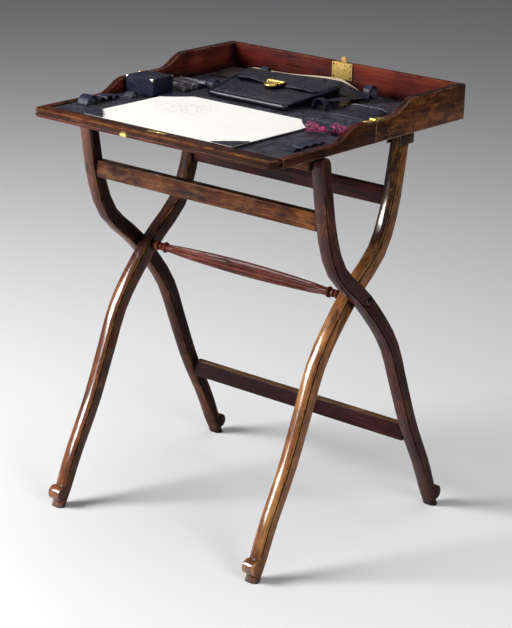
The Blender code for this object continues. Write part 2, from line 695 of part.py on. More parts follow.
def lock_pieces(body):
    """Brass lock let into the back rail, and the bolt that shoots up out of it."""
    top = UNDERSIDE_Z + BACK_HEIGHT - CLEAR
    plate_y = (BACK_FACE_Y - CLEAR - LOCK_PLATE_THICKNESS, BACK_FACE_Y - CLEAR)
    half = LOCK_PLATE_WIDTH / 2
    plate = block((LOCK_X - half, LOCK_X + half), plate_y, (top - LOCK_PLATE_HEIGHT, top))
    case_half = LOCK_CASE_WIDTH / 2
    wall = LOCK_CASE_WALL
    floor = lock_case_floor()
    back = BACK_FACE_Y + LOCK_CASE_DEPTH
    case = block((LOCK_X - case_half, LOCK_X + case_half), (sum(plate_y) / 2, back), (floor, top - CLEAR))
    hollow = block((LOCK_X - case_half + wall, LOCK_X + case_half - wall), (BACK_FACE_Y, back - wall),
                   (floor + wall, top - wall))
    slot_half = LOCK_BOLT_WIDTH / 2 + CLEAR
    slot_deep = LOCK_BOLT_THICKNESS / 2 + CLEAR
    slot = block((LOCK_X - slot_half, LOCK_X + slot_half), (BOLT_BAR_Y - slot_deep, BOLT_BAR_Y + slot_deep),
                 (top - 2 * wall, top + wall))
    inside = join(join(hollow, slot), keyhole(back - 2 * wall, REAR_Y))
    node("lock", cut(join(plate, case), inside), "brass", body)
    bolt = empty("lock_bolt_slide", (LOCK_X, BOLT_BAR_Y, top), body)
    bar = block((LOCK_X - LOCK_BOLT_WIDTH / 2, LOCK_X + LOCK_BOLT_WIDTH / 2),
                (BOLT_BAR_Y - LOCK_BOLT_THICKNESS / 2, BOLT_BAR_Y + LOCK_BOLT_THICKNESS / 2),
                (top - LOCK_BOLT_TAIL, top + LOCK_BOLT_THROW))
    node("lock_bolt", rounded(bar, LOCK_BOLT_THICKNESS / 4, 1), "brass", bolt)


def front_leaf(body):
    """Front leaf: board, moulded lip, low sides, lining, blotter and the outer legs' bearer."""
    board_y = (LIP_FACE_Y + CLEAR, JOINT_Y - CLEAR / 2)
    board_x = (-INSIDE_X + CLEAR, INSIDE_X - CLEAR)
    board_z = (UNDERSIDE_Z, UNDERSIDE_Z + BOARD_THICKNESS)
    node("front_board", block(board_x, board_y, board_z), "mahogany", body)
    far = JOINT_Y - LIP_FACE_Y - CLEAR
    for side, word in SIDES:
        node("front_side_" + word, side_rail(side, LIP_HEIGHT, -1, far), "mahogany", body)
        node("leaf_hinge_front_" + word, hinge_plate(side, -1), "brass", body)
    node("front_lip", lip_shape(), "mahogany", body)
    lining_z = (LINING_Z, LINING_Z + LINING_THICKNESS)
    node("front_lining", block(board_x, board_y, lining_z), "leather", body)
    node("strike_plate", strike_shape(), "brass", body)
    node("leg_bearer", leg_bearer(), "mahogany", body)
    blotter(body)


def strike_y():
    return 2 * JOINT_Y - BOLT_BAR_Y


def strike_slot(low, high):
    half = LOCK_BOLT_WIDTH / 2 + STRIKE_SLOT_CLEAR
    deep = LOCK_BOLT_THICKNESS / 2 + STRIKE_SLOT_CLEAR
    y = strike_y()
    return block((LOCK_X - half, LOCK_X + half), (y - deep, y + deep), (low, high))


def strike_block(grow, low, high):
    half = STRIKE_WIDTH / 2 + grow
    deep = STRIKE_DEPTH / 2 + grow
    y = strike_y()
    return block((LOCK_X - half, LOCK_X + half), (y - deep, y + deep), (low, high))


def strike_shape():
    top = UNDERSIDE_Z + LIP_HEIGHT - CLEAR
    low = top - STRIKE_THICKNESS
    return cut(strike_block(0.0, low, top), strike_slot(low - CLEAR, top + CLEAR))


def lip_shape():
    """Front rail with two beads and a groove run round its rounded front corners."""
    levels = ((0.0, 0.8), (0.10, 0.2), (0.22, 0.0), (0.36, 0.2), (0.45, 1.0), (0.53, 1.0),
              (0.62, 0.2), (0.76, 0.0), (0.90, 0.2), (1.0, 0.9))
    rings = []
    for height, inset in levels:
        z = UNDERSIDE_Z + LIP_HEIGHT * height
        rings.append([(x, y, z) for x, y in lip_plan(BEAD_DEPTH * inset)])
    shape = loft(rings)
    top = UNDERSIDE_Z + LIP_HEIGHT
    low = top - STRIKE_THICKNESS - 2 * CLEAR
    shape = cut(shape, strike_block(CLEAR, low, top + LIP_HEIGHT))
    return cut(shape, strike_slot(top - LOCK_BOLT_THROW - STRIKE_SLOT_CLEAR, top + LIP_HEIGHT))


def lip_plan(inset):
    half = HALF_WIDTH - inset
    front = FRONT_Y + inset
    radius = LIP_CORNER_RADIUS - inset
    corner = []
    for i in range(6):
        angle = math.pi / 2 * i / 5
        x = half - radius + radius * math.sin(angle)
        corner.append((x, front + radius - radius * math.cos(angle)))
    right = corner + [(half, LIP_FACE_Y)]
    return right + [(-x, y) for x, y in right[::-1]]


def leg_bearer():
    """Batten across the underside of the front leaf, rebated to sit over the outer legs' studs."""
    reach = OUTER_X0 - CLEAR
    top = UNDERSIDE_Z - CLEAR
    wall_y = STUD_Y - STUD_RADIUS - CLEAR
    seat = STUD_Z + STUD_RADIUS + CLEAR
    low = STUD_Z - REST_DROP
    outline = [(wall_y - REST_WALL, top), (wall_y - REST_WALL, low), (wall_y, low), (wall_y, seat),
               (wall_y - REST_WALL + REST_DEPTH, seat), (wall_y - REST_WALL + REST_DEPTH, top)]
    return prism(outline, "x", -reach, reach)


def blotter(body):
    """Blotting paper on a leather board, held by four corner pieces."""
    half = INSIDE_X - BLOTTER_SIDE_MARGIN
    y0 = LIP_FACE_Y + BLOTTER_FRONT_MARGIN
    y1 = JOINT_Y - BLOTTER_REAR_MARGIN
    z = FIT_Z
    board = block((-half, half), (y0, y1), (z, z + BLOTTER_BOARD_THICKNESS))
    node("blotter_board", board, "leather", body)
    z += BLOTTER_BOARD_THICKNESS + CLEAR
    inset = BLOTTER_CORNER_THICKNESS
    sheet = block((-half + inset, half - inset), (y0 + inset, y1 - inset), (z, z + PAPER_THICKNESS))
    node("blotting_paper", sheet, "paper", body)
    z += PAPER_THICKNESS + CLEAR
    size = BLOTTER_CORNER_SIZE
    for sx, word in SIDES:
        for y, sy, end in ((y0, 1, "front"), (y1, -1, "rear")):
            outline = [(sx * half, y)]
            for i in range(BLOTTER_CORNER_STEPS + 1):
                share = i / BLOTTER_CORNER_STEPS
                bulge = BLOTTER_CORNER_BULGE * math.sin(math.pi * share) / math.sqrt(2)
                outline.append((sx * (half - size * share - bulge), y + sy * (size * (1 - share) + bulge)))
            flap = prism(outline, "z", z, z + BLOTTER_CORNER_THICKNESS)
            node("blotter_corner_" + end + "_" + word, flap, "leather", body)


def arch(radius, stand, thickness, segments=8):
    """Outline of a strap that rises, bends over and comes down again, feet on zero."""
    def line(r):
        bend = []
        for i in range(segments + 1):
            angle = math.pi * i / segments
            bend.append((r * math.cos(angle), stand + r * math.sin(angle)))
        return [(r, 0.0)] + bend + [(-r, 0.0)] if stand else bend
    return line(radius) + line(radius - thickness)[::-1]


def strap_loop(x, y, radius, stand, along="x"):
    """Leather band loop standing on the lining."""
    half = LOOP_BAND / 2
    bend, middle = (y, x) if along == "x" else (x, y)
    outline = [(bend + a, FIT_Z + h) for a, h in arch(radius, stand, LOOP_THICKNESS)]
    return prism(outline, along, middle - half, middle + half)


def loop_strip(x, front_y):
    """One strap sewn down between its loops, in a row along Y."""
    top = FIT_Z + LOOP_THICKNESS
    outer = SMALL_LOOP_RADIUS
    inner = SMALL_LOOP_RADIUS - LOOP_THICKNESS
    upper = [(front_y, top)]
    lower = [(front_y, FIT_Z)]
    for k in range(PEN_LOOP_COUNT):
        centre = front_y + PEN_LOOP_PITCH * (k + 0.5)
        for i in range(7):
            angle = math.pi * (1 - i / 6)
            upper.append((centre + outer * math.cos(angle), top + outer * math.sin(angle)))
            lower.append((centre + inner * math.cos(angle), FIT_Z + inner * math.sin(angle)))
    end = front_y + PEN_LOOP_PITCH * PEN_LOOP_COUNT
    outline = upper + [(end, top), (end, FIT_Z)] + lower[::-1]
    return prism(outline, "x", x - PEN_STRIP_WIDTH / 2, x + PEN_STRIP_WIDTH / 2)


def elastic_loop(x, y):
    """Ribbed elastic loop, its bands running over the arch."""
    half = ELASTIC_BAND / 2
    rings = []
    for i in range(2 * ELASTIC_RIB_COUNT + 1):
        swell = ELASTIC_RIB_DEPTH if i % 2 else 0.0
        across = x - half + ELASTIC_BAND * i / (2 * ELASTIC_RIB_COUNT)
        bend = arch(ELASTIC_LOOP_RADIUS + swell, 0.0, LOOP_THICKNESS + swell)
        rings.append([(across, y + a, FIT_Z + h) for a, h in bend])
    return loft(rings)


def writing_fittings(body):
    """Inkwell, pen loops and tassels of the front leaf."""
    x0, x1 = INKWELL_X - INKWELL_WIDTH / 2, INKWELL_X + INKWELL_WIDTH / 2
    wall = INKWELL_WALL
    case = block((x0, x1), (INKWELL_FRONT_Y, INKWELL_REAR_Y), (FIT_Z, FIT_Z + INKWELL_HEIGHT))
    hollow = block((x0 + wall, x1 - wall), (INKWELL_FRONT_Y + wall, INKWELL_REAR_Y - wall),
                   (FIT_Z + wall, FIT_Z + 2 * INKWELL_HEIGHT))
    node("inkwell_case", cut(rounded(case, CLEAR * 2, 1), hollow), "leather", body)
    bottle_middle = (INKWELL_FRONT_Y + INKWELL_REAR_Y) / 2
    node("ink_bottle", bottle_shape(bottle_middle), "glass", body)
    lid = empty("inkwell_lid_hinge", (INKWELL_X, LID_AXIS_Y, LID_AXIS_Z), body)
    floor = FIT_Z + INKWELL_HEIGHT + CLEAR
    cover = block((x0, x1), (INKWELL_FRONT_Y, INKWELL_REAR_Y), (floor, floor + INKWELL_LID_HEIGHT))
    hollow = block((x0 + wall, x1 - wall), (INKWELL_FRONT_Y + wall, INKWELL_REAR_Y - wall),
                   (floor - wall, floor + INKWELL_LID_HEIGHT - wall / 2))
    node("inkwell_lid", cut(rounded(cover, CLEAR * 2, 1), hollow), "leather", lid)
    strip_x = INSIDE_X - PEN_STRIP_WIDTH
    node("pen_loops_left", loop_strip(-strip_x, LIP_FACE_Y + PEN_STRIP_SETBACK), "leather", body)
    node("pen_loops_right", loop_strip(strip_x, LIP_FACE_Y + PEN_STRIP_SETBACK), "leather", body)
    elastic = elastic_loop(INKWELL_X, INKWELL_FRONT_Y - 2 * ELASTIC_LOOP_RADIUS)
    node("inkwell_elastic", elastic, "elastic", body)
    tassel_y = JOINT_Y - TASSEL_LENGTH
    middle = INSIDE_X - BLOTTER_SIDE_MARGIN / 2
    left = tassel_shape(middle - TASSEL_LENGTH, tassel_y - 2 * TASSEL_RADIUS)
    node("tassel_left", left, "silk", body)
    node("tassel_right", tassel_shape(middle, tassel_y), "silk", body)


def bottle_shape(y):
    """Square glass bottle with rounded corners and a short neck."""
    half_x = INKWELL_WIDTH / 2 - INKWELL_WALL - BOTTLE_CLEAR
    half_y = INKWELL_DEPTH / 2 - INKWELL_WALL - BOTTLE_CLEAR
    low = FIT_Z + INKWELL_WALL + CLEAR
    shoulder = low + BOTTLE_SHOULDER
    xs = (INKWELL_X - half_x, INKWELL_X + half_x)
    glass = rounded(block(xs, (y - half_y, y + half_y), (low, shoulder)), BOTTLE_CORNER_RADIUS)
    lip = shoulder + BOTTLE_NECK_HEIGHT
    return join(glass, standing_rod(INKWELL_X, y, shoulder - CLEAR, lip, BOTTLE_NECK_RADIUS))


def tassel_shape(x, y):
    """Bound head and spreading skirt, lying along X on the lining."""
    shares = ((0.0, 0.30), (0.05, 0.52), (0.14, 0.60), (0.24, 0.40), (0.34, 0.52), (0.62, 0.84),
              (0.90, 1.0), (1.0, 0.9))
    profile = [(TASSEL_LENGTH * (1 - s), TASSEL_RADIUS * r) for s, r in shares]
    return turned(profile, (x, y, FIT_Z + TASSEL_RADIUS), 12)


def stationery_fittings(body):
    """Wallet, loops, pockets and paper of the rear leaf."""
    node("wallet_body", rounded(wallet_wedge(), WALLET_EDGE_ROUND), "leather", body)
    flap = empty("wallet_flap_hinge", (WALLET_X, FLAP_AXIS_Y, FLAP_AXIS_Z), body)
    node("wallet_flap", on_slope(flap_plate()), "leather", flap)
    node("wallet_clasp", on_slope(clasp_plate()), "brass", flap)
    roll_y = WALLET_FRONT_Y - WALLET_ROLL_GAP - WALLET_ROLL_RADIUS
    roll = leather_roll(WALLET_X, roll_y, WALLET_FRONT_WIDTH, WALLET_ROLL_RADIUS)
    node("wallet_roll", roll, "leather", body)
    left_x = WALLET_X - WALLET_REAR_WIDTH / 2 - LOOP_BAND
    right_x = WALLET_X + WALLET_REAR_WIDTH / 2 + LOOP_BAND
    loop_y = WALLET_FRONT_Y + WALLET_LOOP_SETBACK
    left_loop = strap_loop(left_x, loop_y, WALLET_LOOP_RADIUS, WALLET_LOOP_STAND)
    node("wallet_loop_left", left_loop, "leather", body)
    right_loop = strap_loop(right_x, loop_y, RIGHT_LOOP_RADIUS, RIGHT_LOOP_STAND, "y")
    node("wallet_loop_right", right_loop, "leather", body)
    paper_y = BACK_FACE_Y - PAPER_STACK_GAP - PAPER_STACK_DEPTH
    paper_left = WALLET_X - WALLET_REAR_WIDTH * 0.75
    paper_x = (paper_left, paper_left + PAPER_STACK_WIDTH)
    paper_z = (FIT_Z, FIT_Z + PAPER_STACK_HEIGHT)
    stack = block(paper_x, (paper_y, paper_y + PAPER_STACK_DEPTH), paper_z)
    node("paper_stack", stack, "note_paper", body)
    back_x = WALLET_X - WALLET_REAR_WIDTH * 0.36
    back_y = paper_y - PAPER_STACK_GAP - BACK_LOOP_RADIUS
    node("back_loop", strap_loop(back_x, back_y, BACK_LOOP_RADIUS, BACK_LOOP_STAND), "leather", body)
    tall_y = BACK_FACE_Y - 3 * POCKET_LOOP_RADIUS
    tall = strap_loop(right_x + LOOP_BAND, tall_y, POCKET_LOOP_RADIUS, POCKET_LOOP_STAND)
    node("pocket_loop", tall, "leather", body)
    pocket_x = right_x + RIGHT_LOOP_RADIUS + LOOP_BAND
    right = pocket(pocket_x + RIGHT_POCKET_WIDTH / 2, RIGHT_POCKET_WIDTH,
                   WALLET_FRONT_Y + RIGHT_POCKET_SETBACK, RIGHT_POCKET_DEPTH, RIGHT_POCKET_HEIGHT)
    node("right_pocket", right, "leather", body)
    left_pocket_x = -INSIDE_X + LEFT_POCKET_GAP + LEFT_POCKET_WIDTH / 2
    left_y = JOINT_Y + LEFT_POCKET_GAP
    left = pocket(left_pocket_x, LEFT_POCKET_WIDTH, left_y, LEFT_POCKET_DEPTH, LEFT_POCKET_HEIGHT)
    node("left_pocket", left, "leather", body)
    pen_y = left_y + LEFT_POCKET_DEPTH + PEN_ROLL_RADIUS + WALLET_ROLL_GAP
    node("pen_roll", leather_roll(left_pocket_x, pen_y, LEFT_POCKET_WIDTH, PEN_ROLL_RADIUS), "leather", body)


def leather_roll(x, y, width, radius):
    """Rolled leather edge lying on the lining, along X."""
    half = width / 2
    turn_in = radius * 0.4
    ends = ((-half, radius - turn_in), (-half + turn_in, radius), (half - turn_in, radius),
            (half, radius - turn_in))
    return turned(ends, (x, y, FIT_Z + radius))


def wallet_wedge():
    def end(sign):
        front = WALLET_X + sign * WALLET_FRONT_WIDTH / 2
        rear = WALLET_X + sign * WALLET_REAR_WIDTH / 2
        return [(front, WALLET_FRONT_Y, FIT_Z), (rear, WALLET_REAR_Y, FIT_Z),
                (rear, WALLET_REAR_Y, FIT_Z + WALLET_REAR_HEIGHT),
                (front, WALLET_FRONT_Y, FIT_Z + WALLET_FRONT_HEIGHT)]
    return loft([end(-1), end(1)])


def on_slope(shape):
    """Lay a shape modelled flat before the flap's hinge line onto the wallet's sloping top."""
    hinge = Matrix.Translation((WALLET_X, FLAP_AXIS_Y, FLAP_AXIS_Z))
    shape.transform(hinge @ Matrix.Rotation(WALLET_SLOPE, 4, "X"))
    return shape


def flap_plate():
    half = WALLET_REAR_WIDTH / 2 - WALLET_EDGE_ROUND
    radius = FLAP_CORNER_RADIUS
    taper = (WALLET_REAR_WIDTH - WALLET_FRONT_WIDTH) / 2 * FLAP_DEPTH / WALLET_DEPTH
    right = [(half, 0.0)]
    for i in range(6):
        angle = math.pi / 2 * i / 5
        x = half - taper - radius + radius * math.cos(angle)
        right.append((x, -FLAP_DEPTH + radius - radius * math.sin(angle)))
    outline = right + [(-x, y) for x, y in right[::-1]]
    return prism(outline, "z", 0.0, FLAP_THICKNESS)


def clasp_plate():
    """Brass clasp across the flap's front edge."""
    half = CLASP_WIDTH / 2
    back = -FLAP_DEPTH + CLASP_DEPTH * 0.4
    front = -FLAP_DEPTH - CLASP_DEPTH * 0.6
    outline = ((half, back), (half, front + CLASP_DEPTH / 3), (half / 2, front), (-half / 2, front),
               (-half, front + CLASP_DEPTH / 3), (-half, back))
    low = FLAP_THICKNESS + CLEAR
    return rounded(prism(outline, "z", low, low + CLASP_HEIGHT), CLASP_HEIGHT / 4)


def pocket(x, width, front_y, depth, height):
    """Soft leather pocket that rises from its front edge to its rear."""
    half = width / 2
    rise = ((0.0, 0.18), (0.25, 0.55), (0.55, 0.86), (0.85, 1.0), (1.0, 0.92))
    crown = ((0.97, 0.55), (0.85, 0.86), (0.4, 1.0))
    rings = []
    for share, tall in rise:
        y = front_y + depth * share
        right = [(half * c, FIT_Z + height * tall * h) for c, h in crown]
        left = [(-across, z) for across, z in right[::-1]]
        rings.append([(x + across, y, z) for across, z in [(half, FIT_Z)] + right + left + [(-half, FIT_Z)]])
    return loft(rings)


def main():
    clear_scene()
    table = empty("inner_frame", (0.0, 0.0, 0.0))
    crossing = empty("outer_frame_pivot", (0.0, PIVOT_Y, PIVOT_Z), table)
    rear = empty("rear_leaf_hinge", (0.0, TOP_PIN_Y, TOP_PIN_Z), table)
    front = empty("front_leaf_hinge", (0.0, JOINT_Y, LEAF_AXIS_Z), rear)
    inner_frame(table)
    outer_frame(crossing)
    rear_leaf(rear)
    front_leaf(front)
    writing_fittings(front)
    stationery_fittings(rear)


main()
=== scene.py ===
import json
import math
import random

import bmesh
import bpy
from mathutils import Matrix, Quaternion, Vector, noise

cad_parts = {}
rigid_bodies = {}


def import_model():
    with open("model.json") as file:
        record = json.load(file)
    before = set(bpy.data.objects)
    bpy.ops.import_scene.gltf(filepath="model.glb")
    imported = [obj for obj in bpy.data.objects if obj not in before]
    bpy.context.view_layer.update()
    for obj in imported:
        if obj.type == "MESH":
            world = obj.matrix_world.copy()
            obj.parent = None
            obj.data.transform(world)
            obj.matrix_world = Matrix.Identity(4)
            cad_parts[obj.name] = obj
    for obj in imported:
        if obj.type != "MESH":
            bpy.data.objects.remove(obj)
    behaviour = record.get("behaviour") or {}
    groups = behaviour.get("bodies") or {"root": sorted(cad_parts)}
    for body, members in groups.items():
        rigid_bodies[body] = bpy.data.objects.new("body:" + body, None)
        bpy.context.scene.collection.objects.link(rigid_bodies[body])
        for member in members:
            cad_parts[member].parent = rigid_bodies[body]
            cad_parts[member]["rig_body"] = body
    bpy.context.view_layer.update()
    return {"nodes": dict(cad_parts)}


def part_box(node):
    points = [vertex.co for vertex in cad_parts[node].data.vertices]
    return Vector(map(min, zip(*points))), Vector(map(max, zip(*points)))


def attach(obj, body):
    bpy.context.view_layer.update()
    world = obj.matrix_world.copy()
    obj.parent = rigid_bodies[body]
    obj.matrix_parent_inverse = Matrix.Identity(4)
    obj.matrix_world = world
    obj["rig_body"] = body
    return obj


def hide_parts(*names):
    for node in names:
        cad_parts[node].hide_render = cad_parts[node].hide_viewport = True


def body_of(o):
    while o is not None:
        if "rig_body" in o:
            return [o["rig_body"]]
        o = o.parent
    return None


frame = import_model()
nodes = frame["nodes"]
sceneNow = bpy.context.scene
sceneNow.view_settings.view_transform = "Standard"
rng = random.Random(1805)
noise.seed_set(1805)  # without a seed, noise_vector is different in each run
print("frame loaded,", len(nodes), "nodes")


def showObject(name, data):
    made = bpy.data.objects.new(name, data)
    sceneNow.collection.objects.link(made)
    return made


# camera at the photograph's angle, image taken as 512 by 628
viewPoint = {"azimuth": 39.27, "elevation": 18.44, "roll": 1.57, "distance": 3.388,
             "aimHeight": 0.335, "aside": 0.018, "lens": 118.26, "sensor": 36}


def placeCamera(s):
    az, el, roll = (math.radians(s[k]) for k in ("azimuth", "elevation", "roll"))
    back = Vector((math.sin(az) * math.cos(el), -math.cos(az) * math.cos(el), math.sin(el)))
    turn = (-back).to_track_quat("-Z", "Y") @ Quaternion((0, 0, 1), roll)
    camera = showObject("tableCamera", bpy.data.cameras.new("tableCamera"))
    camera.data.lens, camera.data.sensor_width = s["lens"], s["sensor"]
    aim = Vector((0, 0, s["aimHeight"])) + turn @ Vector((1, 0, 0)) * s["aside"]
    camera.location = aim + back * s["distance"]
    camera.rotation_euler = turn.to_euler()
    sceneNow.camera = camera


placeCamera(viewPoint)

# soft studio light: a tall softbox on the left, a big one overhead, a weaker panel on the right, a glow behind
lamps = {"window": {"place": (-1.8, -2.1, 1.75), "wide": 1.4, "tall": 1.5, "watts": 142},
         "overhead": {"place": (0.2, 0.3, 2.9), "wide": 2.0, "tall": 2.0, "watts": 19},
         "panel": {"place": (2.5, -0.9, 1.5), "wide": 1.0, "tall": 1.4, "watts": 24},
         "glow": {"place": (-1.35, 1.5, 1.85), "wide": 0.7, "tall": 0.4, "watts": 1.1}}
studio = {"aim": (0, 0, 0.45), "sky": 0.07, "skyTone": (0.95, 0.97, 1.0, 1), "floorSize": 14,
          "floor": (0.85, 0.85, 0.86), "floorLow": 0.985}


def lightStudio(s):
    for name, lamp in lamps.items():
        light = bpy.data.lights.new(name, "AREA")
        light.shape = "RECTANGLE"
        light.size, light.size_y, light.energy = lamp["wide"], lamp["tall"], lamp["watts"]
        holder = showObject(name, light)
        holder.location = lamp["place"]
        holder.rotation_euler = (Vector(s["aim"]) - holder.location).to_track_quat("-Z", "Y").to_euler()
    world = bpy.data.worlds.new("studio")
    world.use_nodes = True
    sky = world.node_tree.nodes["Background"].inputs
    sky["Color"].default_value, sky["Strength"].default_value = s["skyTone"], s["sky"]
    sceneNow.world = world


lightStudio(studio)


# a node tree with short ways to add to it: plain values set inputs, sockets are linked
class Net:
    def __init__(self, tree):
        self.tree = tree

    def put(self, kind, inputs=None, **settings):
        made = self.tree.nodes.new("ShaderNode" + kind)
        for key, value in settings.items():
            setattr(made, key, value)
        for key, value in (inputs or {}).items():
            socket = made.inputs[key]
            if isinstance(value, bpy.types.NodeSocket):
                self.tree.links.new(value, socket)
            else:
                socket.default_value = (*value, 1) if socket.type == "RGBA" else value
        return made.outputs

    def do(self, operation, a, b=0.0, clamp=False):
        return self.put("Math", {0: a, 1: b}, operation=operation, use_clamp=clamp)[0]

    def times(self, a, b):
        return self.do("MULTIPLY", a, b)

    def plus(self, a, b, clamp=False):
        return self.do("ADD", a, b, clamp)

    def minus(self, a, b):
        return self.do("SUBTRACT", a, b)

    def vector(self, operation, a, b, out=0):
        return self.put("VectorMath", {0: a, 1: b}, operation=operation)[out]

    def axes(self, vector):
        return self.put("SeparateXYZ", {0: vector})

    def mix(self, share, first, second):
        return self.put("Mix", {0: share, 6: first, 7: second}, data_type="RGBA")[2]

    def ramp(self, value, low, high, toLow=0.0, toHigh=1.0):
        ends = {"Value": value, "From Min": low, "From Max": high, "To Min": toLow, "To Max": toHigh}
        return self.put("MapRange", ends, interpolation_type="SMOOTHSTEP")["Result"]

    def speckle(self, vector, scale, detail=3.0, rough=0.55, twist=0.0):
        return self.put("TexNoise", {"Vector": vector, "Scale": scale, "Detail": detail, "Roughness": rough,
                                     "Distortion": twist})["Fac"]

    def use(self, group, **inputs):
        return self.put("Group", inputs, node_tree=group)

    def send(self, ends, **sockets):
        for label, socket in sockets.items():
            self.tree.links.new(socket, ends[label.replace("_", " ")])

    def close(self, height, deep, strength, **sockets):
        bump = self.put("Bump", {"Height": height, "Distance": deep, "Strength": strength})
        self.send(self.shader, Normal=bump["Normal"], **sockets)
        return self.material


# sockets are numbers, unless they are listed here
socketKinds = {"Vector": "Vector", "Pale": "Color", "Middle": "Color", "Dark": "Color", "Colour": "Color"}


def newGroup(name, inputs, outputs):
    tree = bpy.data.node_groups.new(name, "ShaderNodeTree")
    for way, labels in (("INPUT", inputs), ("OUTPUT", outputs)):
        for label in labels.split():
            kind = "NodeSocket" + socketKinds.get(label, "Float")
            tree.interface.new_socket(label, in_out=way, socket_type=kind)
    return Net(tree), tree.nodes.new("NodeGroupInput").outputs, tree.nodes.new("NodeGroupOutput").inputs


# mahogany figure: fibres, broad stripes and short open pores along Z of the vector it is given
def makeFigure():
    n, g, out = newGroup("mahoganyFigure", "Vector Pale Middle Dark Contrast", "Colour Gloss Pores Scratch")
    drift = n.put("TexNoise", {"Vector": g["Vector"], "Scale": 5.0, "Detail": 2.0})["Color"]
    sway = n.vector("MULTIPLY", n.vector("SUBTRACT", drift, (0.5, 0.5, 0.5)), (0.018, 0.018, 0.0))
    moved = n.vector("ADD", g["Vector"], sway)
    drawn = n.vector("MULTIPLY", moved, (1, 1, 0.04))
    fibre, stripe = n.speckle(drawn, 420.0, 5.0, 0.62), n.speckle(drawn, 85.0, 2.0, 0.5, 0.3)
    tone = n.plus(n.times(fibre, 0.34), n.times(stripe, 0.30))
    tone = n.plus(tone, n.times(n.speckle(moved, 11.0), 0.36))
    tone = n.plus(n.times(n.minus(tone, 0.5), g["Contrast"]), 0.5)
    colour = n.mix(n.ramp(tone, 0.28, 0.50), g["Dark"], g["Middle"])
    colour = n.mix(n.ramp(tone, 0.50, 0.70), colour, g["Pale"])
    dashes = n.vector("MULTIPLY", moved, (1, 1, 0.09))
    pores = n.ramp(n.speckle(dashes, 1500.0, 1.0, 0.4), 0.60, 0.70)
    colour = n.mix(n.times(pores, 0.5), colour, g["Dark"])
    hair = n.vector("MULTIPLY", g["Vector"], (1, 1, 0.025))
    scratch = n.ramp(n.speckle(hair, 640.0, 2.0, 0.5, 0.2), 0.66, 0.74)
    n.send(out, Colour=colour, Gloss=n.ramp(tone, 0.3, 0.7, 0.44, 0.32), Pores=pores, Scratch=scratch)
    return n.tree


# wear where two faces meet, broken up along the edge
def makeWear():
    n, g, out = newGroup("edgeWear", "Vector Reach Patchy", "Mask")
    soft = n.put("Bevel", {"Radius": g["Reach"]}, samples=4)["Normal"]
    same = n.vector("DOT_PRODUCT", soft, n.put("NewGeometry")["Normal"], "Value")
    broken = n.ramp(n.speckle(g["Vector"], g["Patchy"], 4.0, 0.7), 0.36, 0.62)
    n.send(out, Mask=n.times(n.ramp(n.minus(1.0, same), 0.012, 0.14), broken))
    return n.tree


# painted shade that gathers in corners and grooves, from ambient occlusion
def makeCreviceShade():
    n, g, out = newGroup("paintedCreviceShade", "Vector Reach", "Mask")
    openness = n.put("AmbientOcclusion", {"Distance": g["Reach"]}, samples=6)["AO"]
    broken = n.ramp(n.speckle(g["Vector"], 90.0, 3.0, 0.6), 0.2, 0.6, 0.55, 1.0)
    n.send(out, Mask=n.times(n.ramp(openness, 0.95, 0.62), broken))
    return n.tree


# hide grain: pebbled cells with a net of creases and slow changes of tone
def makeHide():
    n, g, out = newGroup("hideGrain", "Vector Cells Creases", "Height Tone Gloss")
    cell = n.put("TexVoronoi", {"Vector": g["Vector"], "Scale": g["Cells"], "Randomness": 0.9},
                 feature="DISTANCE_TO_EDGE")["Distance"]
    fold = n.do("ABSOLUTE", n.minus(n.speckle(g["Vector"], g["Creases"], 3.0, 0.6, 0.8), 0.5))
    crease = n.ramp(fold, 0.0, 0.045)
    height = n.plus(n.times(n.ramp(cell, 0.0, 0.16), 0.5), n.times(crease, 0.5))
    tone = n.plus(n.times(n.speckle(g["Vector"], 38.0, 4.0, 0.6), 0.8), n.times(crease, 0.25))
    n.send(out, Height=height, Tone=tone, Gloss=n.ramp(n.speckle(g["Vector"], 55.0), 0.3, 0.7))
    return n.tree


# marks of handling: thin smears and dull spots
def makeHandling():
    n, g, out = newGroup("handling", "Vector Scale", "Smear")
    wide = n.ramp(n.speckle(g["Vector"], g["Scale"], 4.0, 0.6, 0.6), 0.4, 0.7)
    fine = n.speckle(g["Vector"], n.times(g["Scale"], 9.0), 2.0)
    n.send(out, Smear=n.plus(n.times(wide, 0.7), n.times(fine, 0.3)))
    return n.tree


figureGroup, wearGroup, shadeGroup = makeFigure(), makeWear(), makeCreviceShade()
hideGroup, handlingGroup = makeHide(), makeHandling()


def startMaterial(name, turn=(0, 0, 0), **fixed):
    material = bpy.data.materials.new(name)
    material.use_nodes = True
    n = Net(material.node_tree)
    n.material, n.shader = material, n.tree.nodes["Principled BSDF"].inputs
    for label, value in fixed.items():
        n.shader[label.replace("_", " ")].default_value = value
    where = n.put("TexCoord")["Object"]
    if any(turn):
        where = n.put("Mapping", {"Vector": where, "Rotation": turn})["Vector"]
    return n, where


